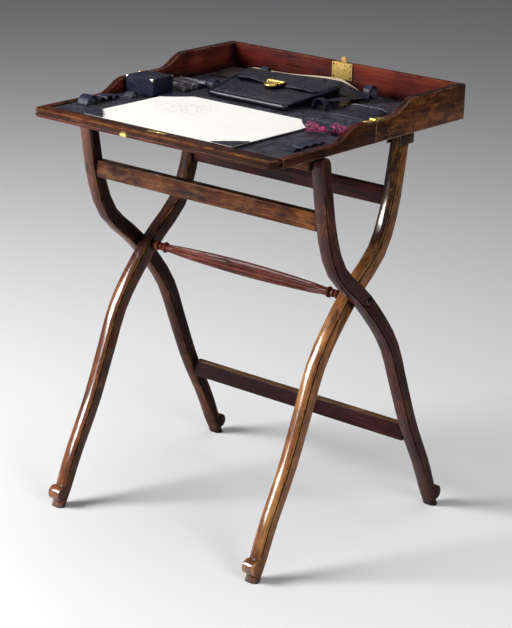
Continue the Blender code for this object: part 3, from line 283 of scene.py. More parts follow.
# woods: the solids each is on, how far their edges are eased and quirks deepened, then the look
alongX, alongY = (0, math.pi / 2, 0), (math.pi / 2, 0, 0)
lean = math.radians(28)  # boards for the legs are cut along each leg's slope
redWithin = {"pale": (0.270, 0.050, 0.032), "middle": (0.150, 0.022, 0.017), "dark": (0.028, 0.005, 0.005)}
plainWood = dict(edge=0.0005, quirk=0.0, turn=alongX, reach=0.0024, shadeReach=0.010, lustre=1.5, dullSides=1.0,
                 stainAndShade=0.35, scratch=0.5)
woods = {
    "innerLegWood": dict(
        on=["inner_leg_right"], edge=0.0004, quirk=0.0015, turn=(lean, 0, 0), pale=(0.52, 0.235, 0.070),
        middle=(0.245, 0.082, 0.026), dark=(0.034, 0.010, 0.006), worn=(0.70, 0.42, 0.13), wear=0.55, coat=1.0,
        lustre=1.7, dullSides=0.25, mottle=(0.30, (0.62, 0.33, 0.10)), stainAndShade=0.6, heightShade=(0.39, 0.53, 0.0, 0.85)),
    "leftLegWood": dict(
        on=["inner_leg_left"], edge=0.0004, quirk=0.0015, turn=(lean, 0, 0), pale=(0.345, 0.125, 0.042),
        middle=(0.150, 0.043, 0.018), dark=(0.026, 0.008, 0.006), worn=(0.62, 0.34, 0.11), wear=0.5, coat=1.0,
        lustre=1.7, dullSides=0.25, mottle=(0.08, (0.42, 0.19, 0.06)), stainAndShade=0.6, heightShade=(0.33, 0.44, 0.0, 0.96),
        hushed=(0.40, 0.50, 1.0, 0.0), dimSides=0.5),
    "outerLegWood": dict(
        on=["outer_leg_right"], edge=0.0004, quirk=0.0009, turn=(-lean, 0, 0), pale=(0.170, 0.050, 0.027),
        middle=(0.058, 0.015, 0.012), dark=(0.013, 0.005, 0.006), worn=(0.42, 0.19, 0.07), wear=0.40, coat=0.40,
        dullSides=0.35, stainAndShade=0.5, dimSides=0.35),
    "rearLegWood": dict(
        on=["outer_leg_left"], edge=0.0004, quirk=0.0011, turn=(-lean, 0, 0), pale=(0.290, 0.105, 0.044),
        middle=(0.115, 0.035, 0.019), dark=(0.018, 0.006, 0.006), worn=(0.52, 0.27, 0.10), wear=0.5, coat=0.45,
        dullSides=0.08, stainAndShade=0.5, dimSides=0.95, heightShade=(0.43, 0.32, 0.0, 0.4), hushed=(0.43, 0.32, 1.0, 0.3)),
    "lipWood": dict(
        on=["front_lip"], edge=0.0006, pale=(0.20, 0.048, 0.016), middle=(0.070, 0.0135, 0.006),
        dark=(0.012, 0.004, 0.003), worn=(0.78, 0.40, 0.11), wear=0.9, reach=0.0022, coat=0.06, stainAndShade=0.8,
        darkTop=0.2, wornAbove=(0.6700, 0.6765, 0.3, 1.0),
        spot=((-0.050, -0.2425, 0.667), 0.009, (0.95, 0.66, 0.20))),
    "frontSideWood": dict(
        on=["front_side_left", "front_side_right"], edge=0.0007, turn=alongY, pale=(0.160, 0.053, 0.017),
        middle=(0.056, 0.016, 0.007), dark=(0.012, 0.004, 0.003), worn=(0.72, 0.38, 0.12), wear=0.9, coat=0.08,
        shadeReach=0.012, stainAndShade=0.8, scratch=0.1, darkTop=0.3, inside=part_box("front_side_right")[0].x,
        spot=((0.2448, -0.2425, 0.671), 0.014, (0.50, 0.26, 0.08))),
    "sideWood": dict(
        on=["rear_side_left", "rear_side_right"], edge=0.0007, turn=alongY, pale=(0.170, 0.052, 0.015),
        middle=(0.060, 0.016, 0.007), dark=(0.010, 0.004, 0.003), worn=(0.66, 0.47, 0.24), wear=0.9,
        reach=0.0030, coat=0.2, shadeReach=0.020, mottle=(0.55, (0.34, 0.125, 0.030)), stainAndShade=0.7, scratch=0.1,
        darkTop=0.5, inside=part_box("rear_side_right")[0].x),
    "backWood": dict(
        on=["rear_back"], edge=0.0006, pale=(0.190, 0.030, 0.013), middle=(0.108, 0.013, 0.008),
        dark=(0.022, 0.003, 0.003), worn=(0.62, 0.32, 0.10), wear=0.8, reach=0.0026, coat=0.03, shadeReach=0.020,
        stainAndShade=0.6, scratch=0.06),
    "frontRailWood": dict(
        on=["outer_top_rail"], pale=(0.265, 0.092, 0.032), middle=(0.090, 0.025, 0.011),
        dark=(0.014, 0.005, 0.004), worn=(0.62, 0.32, 0.10), wear=0.3, reach=0.0022, coat=0.12, stainAndShade=0.8,
        mottle=(0.3, (0.38, 0.17, 0.05)), darkTop=0.75, shaded=(-0.21, -0.02, 0.45, 0.0)),
    "railWood": dict(
        on=["outer_foot_rail"], pale=(0.064, 0.017, 0.015), middle=(0.027, 0.0065, 0.0070),
        dark=(0.012, 0.004, 0.005), worn=(0.52, 0.30, 0.13), wear=0.5, reach=0.0022, coat=0.06, stainAndShade=0.5,
        scratch=0.12, trodden=0.85),
    # painted shade: a darker copy of the rail wood for the inner rail in the top's shadow
    "shadowedRailWood": dict(
        on=["inner_top_rail"], pale=(0.066, 0.015, 0.013), middle=(0.026, 0.006, 0.0065),
        dark=(0.008, 0.003, 0.004), worn=(0.40, 0.20, 0.10), wear=0.3, reach=0.0020, coat=0.1, stainAndShade=0.6,
        scratch=0.15),
    "stretcherWood": dict(
        on=["stretcher"], edge=0.0003, quirk=0.0011, pale=(0.260, 0.052, 0.030), middle=(0.130, 0.026, 0.016),
        dark=(0.024, 0.006, 0.005), worn=(0.46, 0.20, 0.10), wear=0.4, reach=0.0016, coat=0.18),
    "boardWood": dict(
        on=["front_board", "rear_board", "leg_bearer"], pale=(0.16, 0.060, 0.026), middle=(0.080, 0.028, 0.014),
        dark=(0.026, 0.010, 0.006), worn=(0.32, 0.15, 0.06), wear=0.4, coat=0.1),
}
woods = {name: {**plainWood, **s} for name, s in woods.items()}


def makeWood(name, s):
    n, where = startMaterial(name, s["turn"], Coat_Roughness=0.13, Coat_IOR=s["lustre"],
                             Specular_IOR_Level=0.06)
    spot = n.put("TexCoord")
    face, at = n.axes(spot["Normal"]), n.axes(spot["Object"])
    upper, side = n.ramp(face["Z"], 0.6, 0.9), n.do("ABSOLUTE", face["X"])
    tones = {k: s[k] for k in redWithin}
    if "inside" in s:  # out of the light, the inner faces kept their red, and the top ones most of it
        inner = n.ramp(n.do("ABSOLUTE", at["X"]), s["inside"] + 0.0002, s["inside"] + 0.0010, 1.0, 0.0)
        share = n.do("MAXIMUM", inner, n.times(upper, 0.8))
        tones = {k: n.mix(share, tones[k], redWithin[k]) for k in tones}
    figure = n.use(figureGroup, Vector=where, Pale=tones["pale"], Middle=tones["middle"], Dark=tones["dark"],
                   Contrast=1.75)
    wear = n.use(wearGroup, Vector=where, Reach=s["reach"], Patchy=55.0)["Mask"]
    shadeAndGrime = n.use(shadeGroup, Vector=where, Reach=s["shadeReach"])["Mask"]
    smear = n.use(handlingGroup, Vector=where, Scale=16.0)["Smear"]
    drawn = n.vector("MULTIPLY", where, (1, 1, 0.45))
    rubs = n.ramp(n.speckle(drawn, 62.0, 6.0, 0.72, 0.15), 0.44, 0.70)
    # real stains from handling, to which the painted shade below is added
    stainAndShade = n.times(smear, s["stainAndShade"])
    # painted shade: faces that look up are darkened
    if "darkTop" in s:
        stainAndShade = n.plus(stainAndShade, n.times(upper, s["darkTop"]), True)
    if "heightShade" in s:  # painted shade along the height: the table top's shadow on the upper inner legs, and darker towards the foot on the rear left leg
        shadeByHeight = n.times(n.ramp(at["Z"], *s["heightShade"]), n.ramp(side, 0.4, 0.9, 1.0, 0.4))
        stainAndShade = n.plus(stainAndShade, shadeByHeight, True)
    if "shaded" in s:  # darker towards the left end
        stainAndShade = n.plus(stainAndShade, n.ramp(at["X"], *s["shaded"]), True)
    # painted shade on the faces that look along X
    if "dimSides" in s:
        stainAndShade = n.plus(stainAndShade, n.ramp(side, 0.4, 0.9, 0.0, s["dimSides"]), True)
    colour = n.mix(stainAndShade, figure["Colour"], s["dark"])
    if "mottle" in s:  # polish rubbed through in patches
        amount, tone = s["mottle"]
        patches = n.times(rubs, amount)
        if "inside" in s:
            patches = n.times(patches, n.minus(1.0, share))
        colour = n.mix(patches, colour, tone)
    rubbed = n.plus(wear, n.times(figure["Scratch"], s["scratch"]), True)
    if "trodden" in s:  # the top face is worn by feet
        tread = n.ramp(rubs, 0.0, 1.0, 0.35 * s["trodden"], s["trodden"])
        rubbed = n.plus(rubbed, n.times(upper, tread), True)
    if "wornAbove" in s:  # hands rub the upper edges most
        rubbed = n.times(rubbed, n.ramp(at["Z"], *s["wornAbove"]))
    colour = n.mix(n.times(rubbed, s["wear"]), colour, s["worn"])
    if "spot" in s:  # one place is brightened to a golden patch
        middle, reach, tone = s["spot"]
        far = n.vector("DISTANCE", spot["Object"], middle, "Value")
        colour = n.mix(n.ramp(far, 0.4 * reach, reach, 0.9, 0.0), colour, tone)
    # painted shade: crevices are darkened towards near black, and roughened a little
    colour = n.mix(n.times(shadeAndGrime, 0.9), colour, (0.006, 0.003, 0.003))
    rough = n.plus(figure["Gloss"], n.times(smear, 0.10))
    polish = n.ramp(side, 0.35, 0.85, s["coat"], s["coat"] * s["dullSides"])
    polish = n.times(polish, n.ramp(n.speckle(where, 26.0, 4.0, 0.65), 0.34, 0.56, 0.55, 1.0))
    if "hushed" in s:  # less gloss along the height
        polish = n.times(polish, n.ramp(at["Z"], *s["hushed"]))
    return n.close(n.minus(1.0, figure["Pores"]), 0.00012, 0.5, Base_Color=colour, Coat_Weight=polish,
                   Roughness=n.plus(rough, n.times(shadeAndGrime, 0.25)))


hides = {
    "liningHide": dict(deep=(0.007, 0.007, 0.013), light=(0.066, 0.064, 0.090), rough=(0.26, 0.46),
                       cells=700.0, creases=26.0, relief=0.00075, spec=0.45),
    "walletHide": dict(deep=(0.0038, 0.0034, 0.0090), light=(0.0150, 0.0130, 0.0290), rough=(0.26, 0.44),
                       cells=850.0, creases=40.0, relief=0.00026, spec=0.33),
    "rollHide": dict(deep=(0.004, 0.004, 0.0085), light=(0.018, 0.018, 0.032), rough=(0.26, 0.36),
                     cells=1000.0, creases=30.0, relief=0.00004, spec=0.30),
    "boxHide": dict(deep=(0.007, 0.007, 0.020), light=(0.013, 0.0130, 0.036), rough=(0.28, 0.40),
                    cells=1000.0, creases=46.0, relief=0.00010, spec=0.20, rub=(0.17, 0.17, 0.21)),
    "strapHide": dict(deep=(0.009, 0.010, 0.025), light=(0.027, 0.029, 0.062), rough=(0.30, 0.46),
                      cells=1100.0, creases=70.0, relief=0.00016, spec=0.25, rub=(0.11, 0.11, 0.17)),
    "pocketHide": dict(deep=(0.012, 0.010, 0.015), light=(0.066, 0.056, 0.066), rough=(0.20, 0.32),
                       cells=800.0, creases=12.0, relief=0.00006, spec=0.4, shadeReach=0.016),
    "folderHide": dict(deep=(0.009, 0.009, 0.014), light=(0.040, 0.040, 0.050), rough=(0.60, 0.76),
                       cells=800.0, creases=30.0, relief=0.00030, spec=0.14),
    "brownHide": dict(deep=(0.018, 0.014, 0.014), light=(0.072, 0.056, 0.050), rough=(0.40, 0.56),
                      cells=800.0, creases=30.0, relief=0.00030, spec=0.35),
    # pale leather whose colour is a painted highlight along rolled rims and straps
    "glintHide": dict(deep=(0.040, 0.040, 0.055), light=(0.200, 0.200, 0.250), rough=(0.16, 0.30),
                    cells=1200.0, creases=80.0, relief=0.00010, spec=0.7),
}


def makeHideFinish(name, s):
    n, where = startMaterial(name, Specular_IOR_Level=s["spec"])
    grain = n.use(hideGroup, Vector=where, Cells=s["cells"], Creases=s["creases"])
    wear = n.use(wearGroup, Vector=where, Reach=0.0010, Patchy=90.0)["Mask"]
    shadeAndGrime = n.use(shadeGroup, Vector=where, Reach=s.get("shadeReach", 0.007))["Mask"]
    colour = n.mix(n.ramp(grain["Tone"], 0.38, 0.86), s["deep"], s["light"])
    colour = n.mix(n.times(wear, 0.6), colour, s.get("rub", tuple(2.1 * c for c in s["light"])))
    # painted shade: crevices and folds of the hide are darkened
    colour = n.mix(n.times(shadeAndGrime, 0.8), colour, (0.002, 0.002, 0.003))
    return n.close(grain["Height"], s["relief"], 0.7, Base_Color=colour,
                   Roughness=n.ramp(grain["Gloss"], 0.0, 1.0, *s["rough"]))


def makeBrass(name, clean, dull, matt=0.0, metal=1.0):
    n, where = startMaterial(name, Metallic=metal)
    spots = n.ramp(n.speckle(where, 260.0, 5.0, 0.65), 0.42, 0.66)
    smear = n.use(handlingGroup, Vector=where, Scale=70.0)["Smear"]
    wear = n.use(wearGroup, Vector=where, Reach=0.0006, Patchy=200.0)["Mask"]
    colour = n.mix(n.times(spots, 0.8), clean, dull)
    colour = n.mix(wear, colour, tuple(min(1.0, 1.25 * c) for c in clean))
    rough = n.plus(n.times(smear, 0.22), n.ramp(spots, 0.0, 1.0, 0.22 + matt, 0.40 + matt))
    return n.close(n.speckle(where, 900.0), 0.00006, 0.4, Base_Color=colour, Roughness=rough)


def makePaper(name, clean, aged, smudge, share, spot=None):
    n, where = startMaterial(name, Specular_IOR_Level=0.25)
    felt = n.speckle(where, 1400.0, 4.0, 0.7)
    cloud = n.ramp(n.speckle(where, 14.0, 4.0, 0.6, 0.4), 0.45, 0.75)
    marks = n.times(n.ramp(n.speckle(where, 38.0, 5.0, 0.7, 0.8), 0.56, 0.74), share)
    if spot:  # used most in one place
        near = n.vector("DISTANCE", where, spot["middle"], "Value")
        flecks = n.ramp(n.speckle(where, 150.0, 4.0, 0.7, 0.5), 0.50, 0.66)
        flecks = n.times(flecks, n.ramp(near, spot["core"], spot["reach"], 1.0, 0.0))
        marks = n.plus(marks, flecks, True)
    colour = n.mix(n.times(cloud, 0.5), clean, aged)
    colour = n.mix(marks, colour, smudge)
    colour = n.mix(n.ramp(felt, 0.3, 0.7, 0.0, 0.08), colour, smudge)
    return n.close(felt, 0.00008, 0.5, Base_Color=colour, Roughness=n.ramp(felt, 0.3, 0.7, 0.78, 0.94))


def makeThread(name, bright, deep, rough):
    n, where = startMaterial(name, Sheen_Weight=0.3, Sheen_Roughness=0.4)
    strand = n.speckle(where, 420.0, 3.0, 0.7)
    return n.close(n.speckle(where, 3000.0, 2.0), 0.0001, 0.5,
                   Base_Color=n.mix(n.ramp(strand, 0.38, 0.62), deep, bright),
                   Roughness=n.ramp(strand, 0.3, 0.7, rough + 0.15, rough))


elasticLook = {"rib": 0.0045, "pale": (0.13, 0.135, 0.16), "deep": (0.008, 0.008, 0.012)}


def makeElastic(s):
    n, where = startMaterial("elasticRib", Specular_IOR_Level=0.15)
    low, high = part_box("inkwell_elastic")
    across = n.minus(n.axes(where)["X"], (low.x + high.x) / 2)
    wave = n.do("SINE", n.times(across, math.tau / s["rib"]))
    weave = n.speckle(where, 1800.0, 2.0)
    # the dark between the ribs is painted shade in their valleys
    share = n.plus(n.ramp(wave, 0.0, 0.8), n.times(weave, 0.12), True)
    return n.close(weave, 0.0002, 0.6, Base_Color=n.mix(share, s["deep"], s["pale"]),
                   Roughness=n.ramp(weave, 0.3, 0.7, 0.55, 0.8))


def makeGlass():
    n, where = startMaterial("bottleGlass", Transmission_Weight=1.0, IOR=1.47)
    cloud = n.speckle(where, 60.0)
    return n.close(cloud, 0.0003, 0.3, Base_Color=n.mix(cloud, (0.80, 0.88, 0.86), (0.90, 0.95, 0.93)),
                   Roughness=n.ramp(cloud, 0.3, 0.7, 0.02, 0.10))


def meshOf(name, bm):
    mesh = bpy.data.meshes.new(name)
    bm.to_mesh(mesh)
    bm.free()
    return mesh


def makeFloor(s):
    n, where = startMaterial("paleFloor", Roughness=0.85, Specular_IOR_Level=0.1)
    low = tuple(s["floorLow"] * c for c in s["floor"])
    n.send(n.shader, Base_Color=n.mix(n.speckle(where, 3.0), low, s["floor"]))
    bm = bmesh.new()
    bmesh.ops.create_grid(bm, x_segments=1, y_segments=1, size=s["floorSize"] / 2)
    ground = showObject("floor", meshOf("floor", bm))
    ground.data.materials.append(n.material)


makeFloor(studio)
finish = {name: makeWood(name, s) for name, s in woods.items()}
finish.update({name: makeHideFinish(name, s) for name, s in hides.items()})
finish["brass"] = makeBrass("oldBrass", (0.86, 0.60, 0.17), (0.42, 0.27, 0.07))
finish["lockBrass"] = makeBrass("lockBrass", (0.44, 0.285, 0.072), (0.21, 0.13, 0.033), 0.24, 0.45)
finish["darkBrass"] = makeBrass("darkBrass", (0.060, 0.040, 0.026), (0.022, 0.016, 0.012))
finish["paleMetal"] = makeBrass("paleMetal", (0.82, 0.78, 0.68), (0.50, 0.45, 0.36))
finish["paper"] = makePaper("blottingPaper", (0.97, 0.957, 0.905), (0.94, 0.915, 0.85), (0.62, 0.50, 0.48),
                            0.10, {"middle": (-0.074, -0.072, 0.680), "core": 0.012, "reach": 0.075})
finish["notePaper"] = makePaper("notePaper", (0.47, 0.38, 0.27), (0.36, 0.28, 0.19), (0.20, 0.14, 0.09), 0.4)
finish["silk"] = makeThread("tasselSilk", (0.60, 0.030, 0.200), (0.09, 0.006, 0.026), 0.42)
# the core's dark silk is painted shade deep among the threads
finish["darkSilk"] = makeThread("darkSilk", (0.075, 0.006, 0.024), (0.022, 0.003, 0.008), 0.6)
finish["stitch"] = makeThread("waxedThread", (0.085, 0.085, 0.11), (0.02, 0.02, 0.03), 0.5)
finish["elastic"] = makeElastic(elasticLook)
finish["glass"] = makeGlass()
print("materials made:", len(finish))


# short ways through bmesh geometry
def only(geom, kind="Vert"):
    return [g for g in geom if isinstance(g, getattr(bmesh.types, "BM" + kind))]


def vertsOf(parts):
    return list(dict.fromkeys(v for p in parts for v in p.verts))


def whole(bm):
    return bm.verts[:] + bm.edges[:] + bm.faces[:]


def pull(bm, faces, move=(0, 0, 0)):
    grown = bmesh.ops.extrude_face_region(bm, geom=faces)["geom"]
    bmesh.ops.translate(bm, verts=only(grown), vec=move)
    return grown


def spin(bm, edges, centre, axis, angle, steps, merge=False, drift=(0, 0, 0)):
    grown = bmesh.ops.spin(bm, geom=vertsOf(edges) + edges, cent=centre, axis=axis, angle=angle, steps=steps,
                           use_merge=merge, dvec=drift)
    return only(grown["geom_last"], "Edge")


def faceOut(bm):
    bmesh.ops.recalc_face_normals(bm, faces=bm.faces)


def unit(value):
    return min(max(value, 0.0), 1.0)


def bodyOf(nodeName):
    return body_of(nodes[nodeName])[0]


# bmesh to a piece that rides on the body of the solid it stands for, or on the one that is named
def addPiece(name, bm, look, slotName, *stands, body=None, smooth=35, outward=True):
    if outward:
        faceOut(bm)
    mesh = meshOf(name, bm)
    if mesh.attributes.get("custom_normal"):
        mesh.attributes.remove(mesh.attributes["custom_normal"])
    mesh.materials.clear()
    mesh.materials.append(finish[look])
    mesh.polygons.foreach_set("material_index", [0] * len(mesh.polygons))
    mesh.polygons.foreach_set("use_smooth", [True] * len(mesh.polygons))
    mesh.set_sharp_from_angle(angle=math.radians(smooth))
    made = showObject(name, mesh)
    body = body or bodyOf(stands[0])
    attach(made, body)
    if stands:
        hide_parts(*stands)
    return made


def soften(made):
    smoother = made.modifiers.new("soften", "SUBSURF")
    smoother.levels = smoother.render_levels = 1
    return made


def copyNode(nodeName):
    bm = bmesh.new()
    bm.from_mesh(nodes[nodeName].data)
    bmesh.ops.remove_doubles(bm, verts=bm.verts, dist=0.00001)
    bmesh.ops.dissolve_limit(bm, angle_limit=math.radians(0.6), verts=bm.verts, edges=bm.edges)
    return bm


def easeEdges(bm, width, angle=40, segments=2):
    sharp = [e for e in bm.edges if e.is_manifold and e.calc_face_angle(0) > math.radians(angle)]
    bmesh.ops.bevel(bm, geom=sharp, offset=width, offset_type="OFFSET", affect="EDGES", segments=segments,
                    profile=0.5, material=-1, clamp_overlap=True)


# the quirk beside each crowned edge is pushed in between the foot and the top, so that it reads as a line
quirks = {"above": 0.05, "below": 0.63, "angle": 15}


def deepenQuirks(bm, deep, s):
    if not deep:
        return
    bm.normal_update()
    hollow = [e for e in bm.edges if e.is_manifold and not e.is_convex
              and e.calc_face_angle(0) > math.radians(s["angle"])]
    for v in vertsOf(hollow):
        if s["above"] < v.co.z < s["below"]:
            v.co -= v.normal * deep


# a solid with eased edges, after a change to its shape
def dress(nodeName, look, slotName, width, angle=40, name=None, change=None):
    bm = copyNode(nodeName)
    if change:
        change(bm)
    easeEdges(bm, width, angle)
    addPiece(name or nodeName + "_dressed", bm, look, slotName, nodeName, outward=False)


for look, s in woods.items():
    for nodeName in s["on"]:
        dress(nodeName, look, "mahogany", s["edge"], change=lambda bm: deepenQuirks(bm, s["quirk"], quirks))
print("wood dressed")

# brass of the joints, hinges and lock, with the width of the eased edges
sides = ("left", "right")
brassWork = {
    "brass": (0.0002, ["leaf_hinge_front_", "leaf_hinge_rear_", "strike_plate"]),
    "darkBrass": (0.0002, ["pivot_bolt_", "pivot_washer_", "leg_stud_", "leg_bracket_"]),
    "lockBrass": (0.0003, ["lock", "lock_bolt"]),
}
for look, (width, names) in brassWork.items():
    for start in names:
        for end in sides if start.endswith("_") else ("",):
            dress(start + end, look, "brass", width)
nodes["ink_bottle"].material_slots[0].material = finish["glass"]

# slotted screws, one small mesh stamped at each place
screw = {"slot": 0.26, "depth": 0.34, "sides": 14, "taper": 0.82, "floor": (0.98, 0.96, 0.3)}
screwPlaces = {"lock": (0.0017, 0.0035, 0.00005), "hinge": (0.0016, 0.0045, 0.0003), "hingePitch": 0.0075,
               "strike": (0.0015, 0.004, 0.0002)}


def screwMesh(s):
    half = bmesh.new()
    bmesh.ops.create_cone(half, cap_ends=True, segments=s["sides"], radius1=1, radius2=s["taper"],
                          depth=s["depth"])
    cut = bmesh.ops.bisect_plane(half, geom=whole(half), plane_co=(s["slot"] / 2, 0, 0), plane_no=(1, 0, 0),
                                 clear_inner=True)
    bmesh.ops.edgeloop_fill(half, edges=only(cut["geom_cut"], "Edge"))
    bmesh.ops.mirror(half, geom=whole(half), axis="X", merge_dist=-1)
    bmesh.ops.translate(half, verts=half.verts, vec=(0, 0, s["depth"] / 2))
    low, high, share = s["floor"]
    bmesh.ops.create_cone(half, cap_ends=True, segments=s["sides"], radius1=low, radius2=high,
                          depth=s["depth"] * share, matrix=Matrix.Translation((0, 0, s["depth"] * share / 2)))
    faceOut(half)
    return meshOf("screwStamp", half)


screwStamp = screwMesh(screw)


def stamp(bm, mesh, matrix):
    before = set(bm.verts)
    bm.from_mesh(mesh)
    bmesh.ops.transform(bm, matrix=matrix, verts=[v for v in bm.verts if v not in before])


def screws(name, body, facing, radius, places, look="brass"):
    bm = bmesh.new()
    for point in places:
        turn = Vector(facing).to_track_quat("Z", "Y") @ Quaternion((0, 0, 1), rng.uniform(0, math.pi))
        stamp(bm, screwStamp, Matrix.Translation(point) @ turn.to_matrix().to_4x4() @ Matrix.Scale(radius, 4))
    addPiece(name, bm, look, "brass", body=body, outward=False)


# for each set: the screws' radius, their distance from the plate's edge, and how far they are sunk or proud
def placeScrews(s):
    low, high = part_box("lock")
    radius, inset, proud = s["lock"]
    screws("lockScrews", "rear_leaf", (0, -1, 0), radius,
           [(x, low.y - proud, z) for z in (low.z + inset, high.z - inset)
            for x in (low.x + inset, high.x - inset)], "darkBrass")
    radius, inset, sunk = s["hinge"]
    for side in sides:
        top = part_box("front_side_" + side)[1].z - sunk
        for leaf, way in (("front", 1), ("rear", -1)):
            low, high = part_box("leaf_hinge_" + leaf + "_" + side)
            start = (low.y if way > 0 else high.y) + way * inset
            screws("hingeScrews_" + leaf + "_" + side, leaf + "_leaf", (0, 0, 1), radius,
                   [((low.x + high.x) / 2, start + k * way * s["hingePitch"], top) for k in (0, 1)])
    low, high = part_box("strike_plate")
    radius, inset, sunk = s["strike"]
    screws("strikeScrews", "front_leaf", (0, 0, 1), radius,
           [(x, (low.y + high.y) / 2, high.z - sunk) for x in (low.x + inset, high.x - inset)])


placeScrews(screwPlaces)
print("brass and screws done")

# a strap is an edge that is led along by extrudes and spins
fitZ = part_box("blotter_board")[0].z


def bandEdge(bm, a, b, count, crown=0.0, up=(0, 0, 1)):
    a, b = Vector(a), Vector(b)
    last = bmesh.ops.create_vert(bm, co=a)["vert"][0]
    edges = []
    for i in range(1, count + 1):
        grown = bmesh.ops.extrude_vert_indiv(bm, verts=[last])
        last = grown["verts"][0]
        share = i / count
        last.co = a.lerp(b, share) + Vector(up) * crown * math.sin(math.pi * share)
        edges += grown["edges"]
    return edges


def lead(bm, edges, moves):
    for kind, *how in moves:
        if kind == "go":
            grown = bmesh.ops.extrude_edge_only(bm, edges=edges)["geom"]
            fresh = only(grown)
            bmesh.ops.translate(bm, verts=fresh, vec=how[0])
            known = set(fresh)
            edges = [e for e in only(grown, "Edge") if set(e.verts) <= known]
        else:
            edges = spin(bm, edges, *how)
    return edges


def thicken(bm, thickness):
    bmesh.ops.remove_doubles(bm, verts=bm.verts, dist=0.00001)
    faceOut(bm)
    bmesh.ops.solidify(bm, geom=bm.faces[:], thickness=thickness)


def ringEdges(bm, place, along, radius, sides):
    turn = along.to_track_quat("Z", "Y").to_matrix().to_4x4()
    ring = bmesh.ops.create_circle(bm, cap_ends=True, segments=sides, radius=radius,
                                   matrix=Matrix.Translation(place) @ turn)["verts"]
    return list(dict.fromkeys(e for v in ring for e in v.link_edges))


def tube(bm, points, radius):
    edges = ringEdges(bm, points[0], points[1] - points[0], radius, 8)
    edges = lead(bm, edges, [("go", b - a) for a, b in zip(points, points[1:])])
    bmesh.ops.edgeloop_fill(bm, edges=edges)


def wobble(bm, amount, scale, seed, fixedBelow=-1.0):
    for v in bm.verts:
        if v.co.z >= fixedBelow:
            v.co += noise.noise_vector(v.co * scale + Vector((seed, 0, 0))) * amount


# strap loops: band width, wall and the rise of each come from its CAD solid
strap = {"wall": 0.0011, "turnSteps": 12, "crown": 0.00025, "leastRise": 0.0004, "uneven": 0.0006,
         "sewn": 0.002}


def strapLoop(nodeName, alongAxis, seed, s=strap):
    low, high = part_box(nodeName)
    middle = (low + high) / 2
    floor = low.z + 0.0001
    if alongAxis == "x":
        radius = (high.y - low.y) / 2 - s["wall"] / 2
        first = ((low.x, middle.y - radius, floor), (high.x, middle.y - radius, floor))
        axis, outside = (-1, 0, 0), (0, -1, 0)
    else:
        radius = (high.x - low.x) / 2 - s["wall"] / 2
        first = ((middle.x - radius, low.y, floor), (middle.x - radius, high.y, floor))
        axis, outside = (0, 1, 0), (-1, 0, 0)
    rise = max(high.z - floor - radius - s["wall"] / 2, s["leastRise"])
    up, down = ("go", (0, 0, rise / 2)), ("go", (0, 0, -rise / 2))
    bm = bmesh.new()
    edges = bandEdge(bm, *first, 6, s["crown"], outside)
    over = ("turn", Vector((middle.x, middle.y, floor + rise)), axis, math.pi, s["turnSteps"])
    lead(bm, edges, [up, up, over, down, down])
    thicken(bm, s["wall"])
    wobble(bm, s["uneven"], 90, seed, floor + s["sewn"])
    easeEdges(bm, 0.0003, 50, 1)
    soften(addPiece(nodeName + "_strap", bm, "strapHide", "leather", nodeName))


strapLoop("wallet_loop_left", "x", 2.0)
strapLoop("wallet_loop_right", "y", 3.0)
strapLoop("back_loop", "x", 4.0)
strapLoop("pocket_loop", "x", 5.0)

# rows of pen straps: one band sewn down between the loops, each loop worn to its own size
penRow = {"wall": 0.0012, "steps": 9, "flat": 0.0010, "lean": 0.0016, "skew": 0.0012,
          "pen_loops_left": {"spans": (1.45, 0.95, 0.90, 0.70), "rises": (0.0135, 0.0068, 0.0082, 0.0056)},
          "pen_loops_right": {"spans": (1.10, 0.90, 1.15, 0.85), "rises": (0.0026, 0.0036, 0.0030, 0.0022)}}


def penStraps(nodeName, s, seed):
    low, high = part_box(nodeName)
    row = s[nodeName]
    z = low.z + s["wall"]
    bm = bmesh.new()
    edges = bandEdge(bm, (low.x, low.y, z), (high.x, low.y, z), 8, 0.00015)
    length = (high.y - low.y) / sum(row["spans"])
    y = low.y
    flat = ("go", (0, s["flat"], 0))
    for k, span in enumerate(row["spans"]):
        radius = length * span / 2 - s["flat"]
        before = set(bm.verts)
        over = ("turn", Vector((0, y + length * span / 2, z)), (-1, 0, 0), math.pi, s["steps"])
        edges = lead(bm, edges, [flat, over, flat])
        for v in set(bm.verts) - before:
            share = (v.co.z - z) / radius
            v.co.z = z + row["rises"][k] * share ** 0.8 if share > 0 else v.co.z
            v.co.y += s["lean"] * share * math.sin(seed + 2.1 * k) \
                + s["skew"] * share * (v.co.x - low.x) / (high.x - low.x)
        y += length * span
    thicken(bm, s["wall"])
    wobble(bm, 0.0005, 120, seed, z + 0.001)
    soften(addPiece(nodeName + "_row", bm, "strapHide", "leather", nodeName))


penStraps("pen_loops_left", penRow, 1.0)
penStraps("pen_loops_right", penRow, 4.0)

# elastic loop by the inkwell, with its ribs
elasticLoop = {"ribs": 4, "depth": 0.0007, "wall": 0.0011, "steps": 14}


def elasticStrap(s):
    low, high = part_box("inkwell_elastic")
    middle = (low + high) / 2
    radius = (high.y - low.y) / 2 - s["depth"] - s["wall"] / 2
    bm = bmesh.new()
    edges = bandEdge(bm, (low.x, middle.y - radius, low.z), (high.x, middle.y - radius, low.z), 8 * s["ribs"])
    for v in bm.verts:
        phase = (v.co.x - low.x) / (high.x - low.x) * s["ribs"]
        v.co.y -= s["depth"] * abs(math.sin(math.pi * phase))
    spin(bm, edges, Vector((middle.x, middle.y, low.z)), (-1, 0, 0), math.pi, s["steps"])
    thicken(bm, s["wall"])
    wobble(bm, 0.0004, 150, 7.0, low.z + 0.001)
    addPiece("elasticStrap", bm, "elastic", "elastic", "inkwell_elastic")


elasticStrap(elasticLoop)
print("straps done")


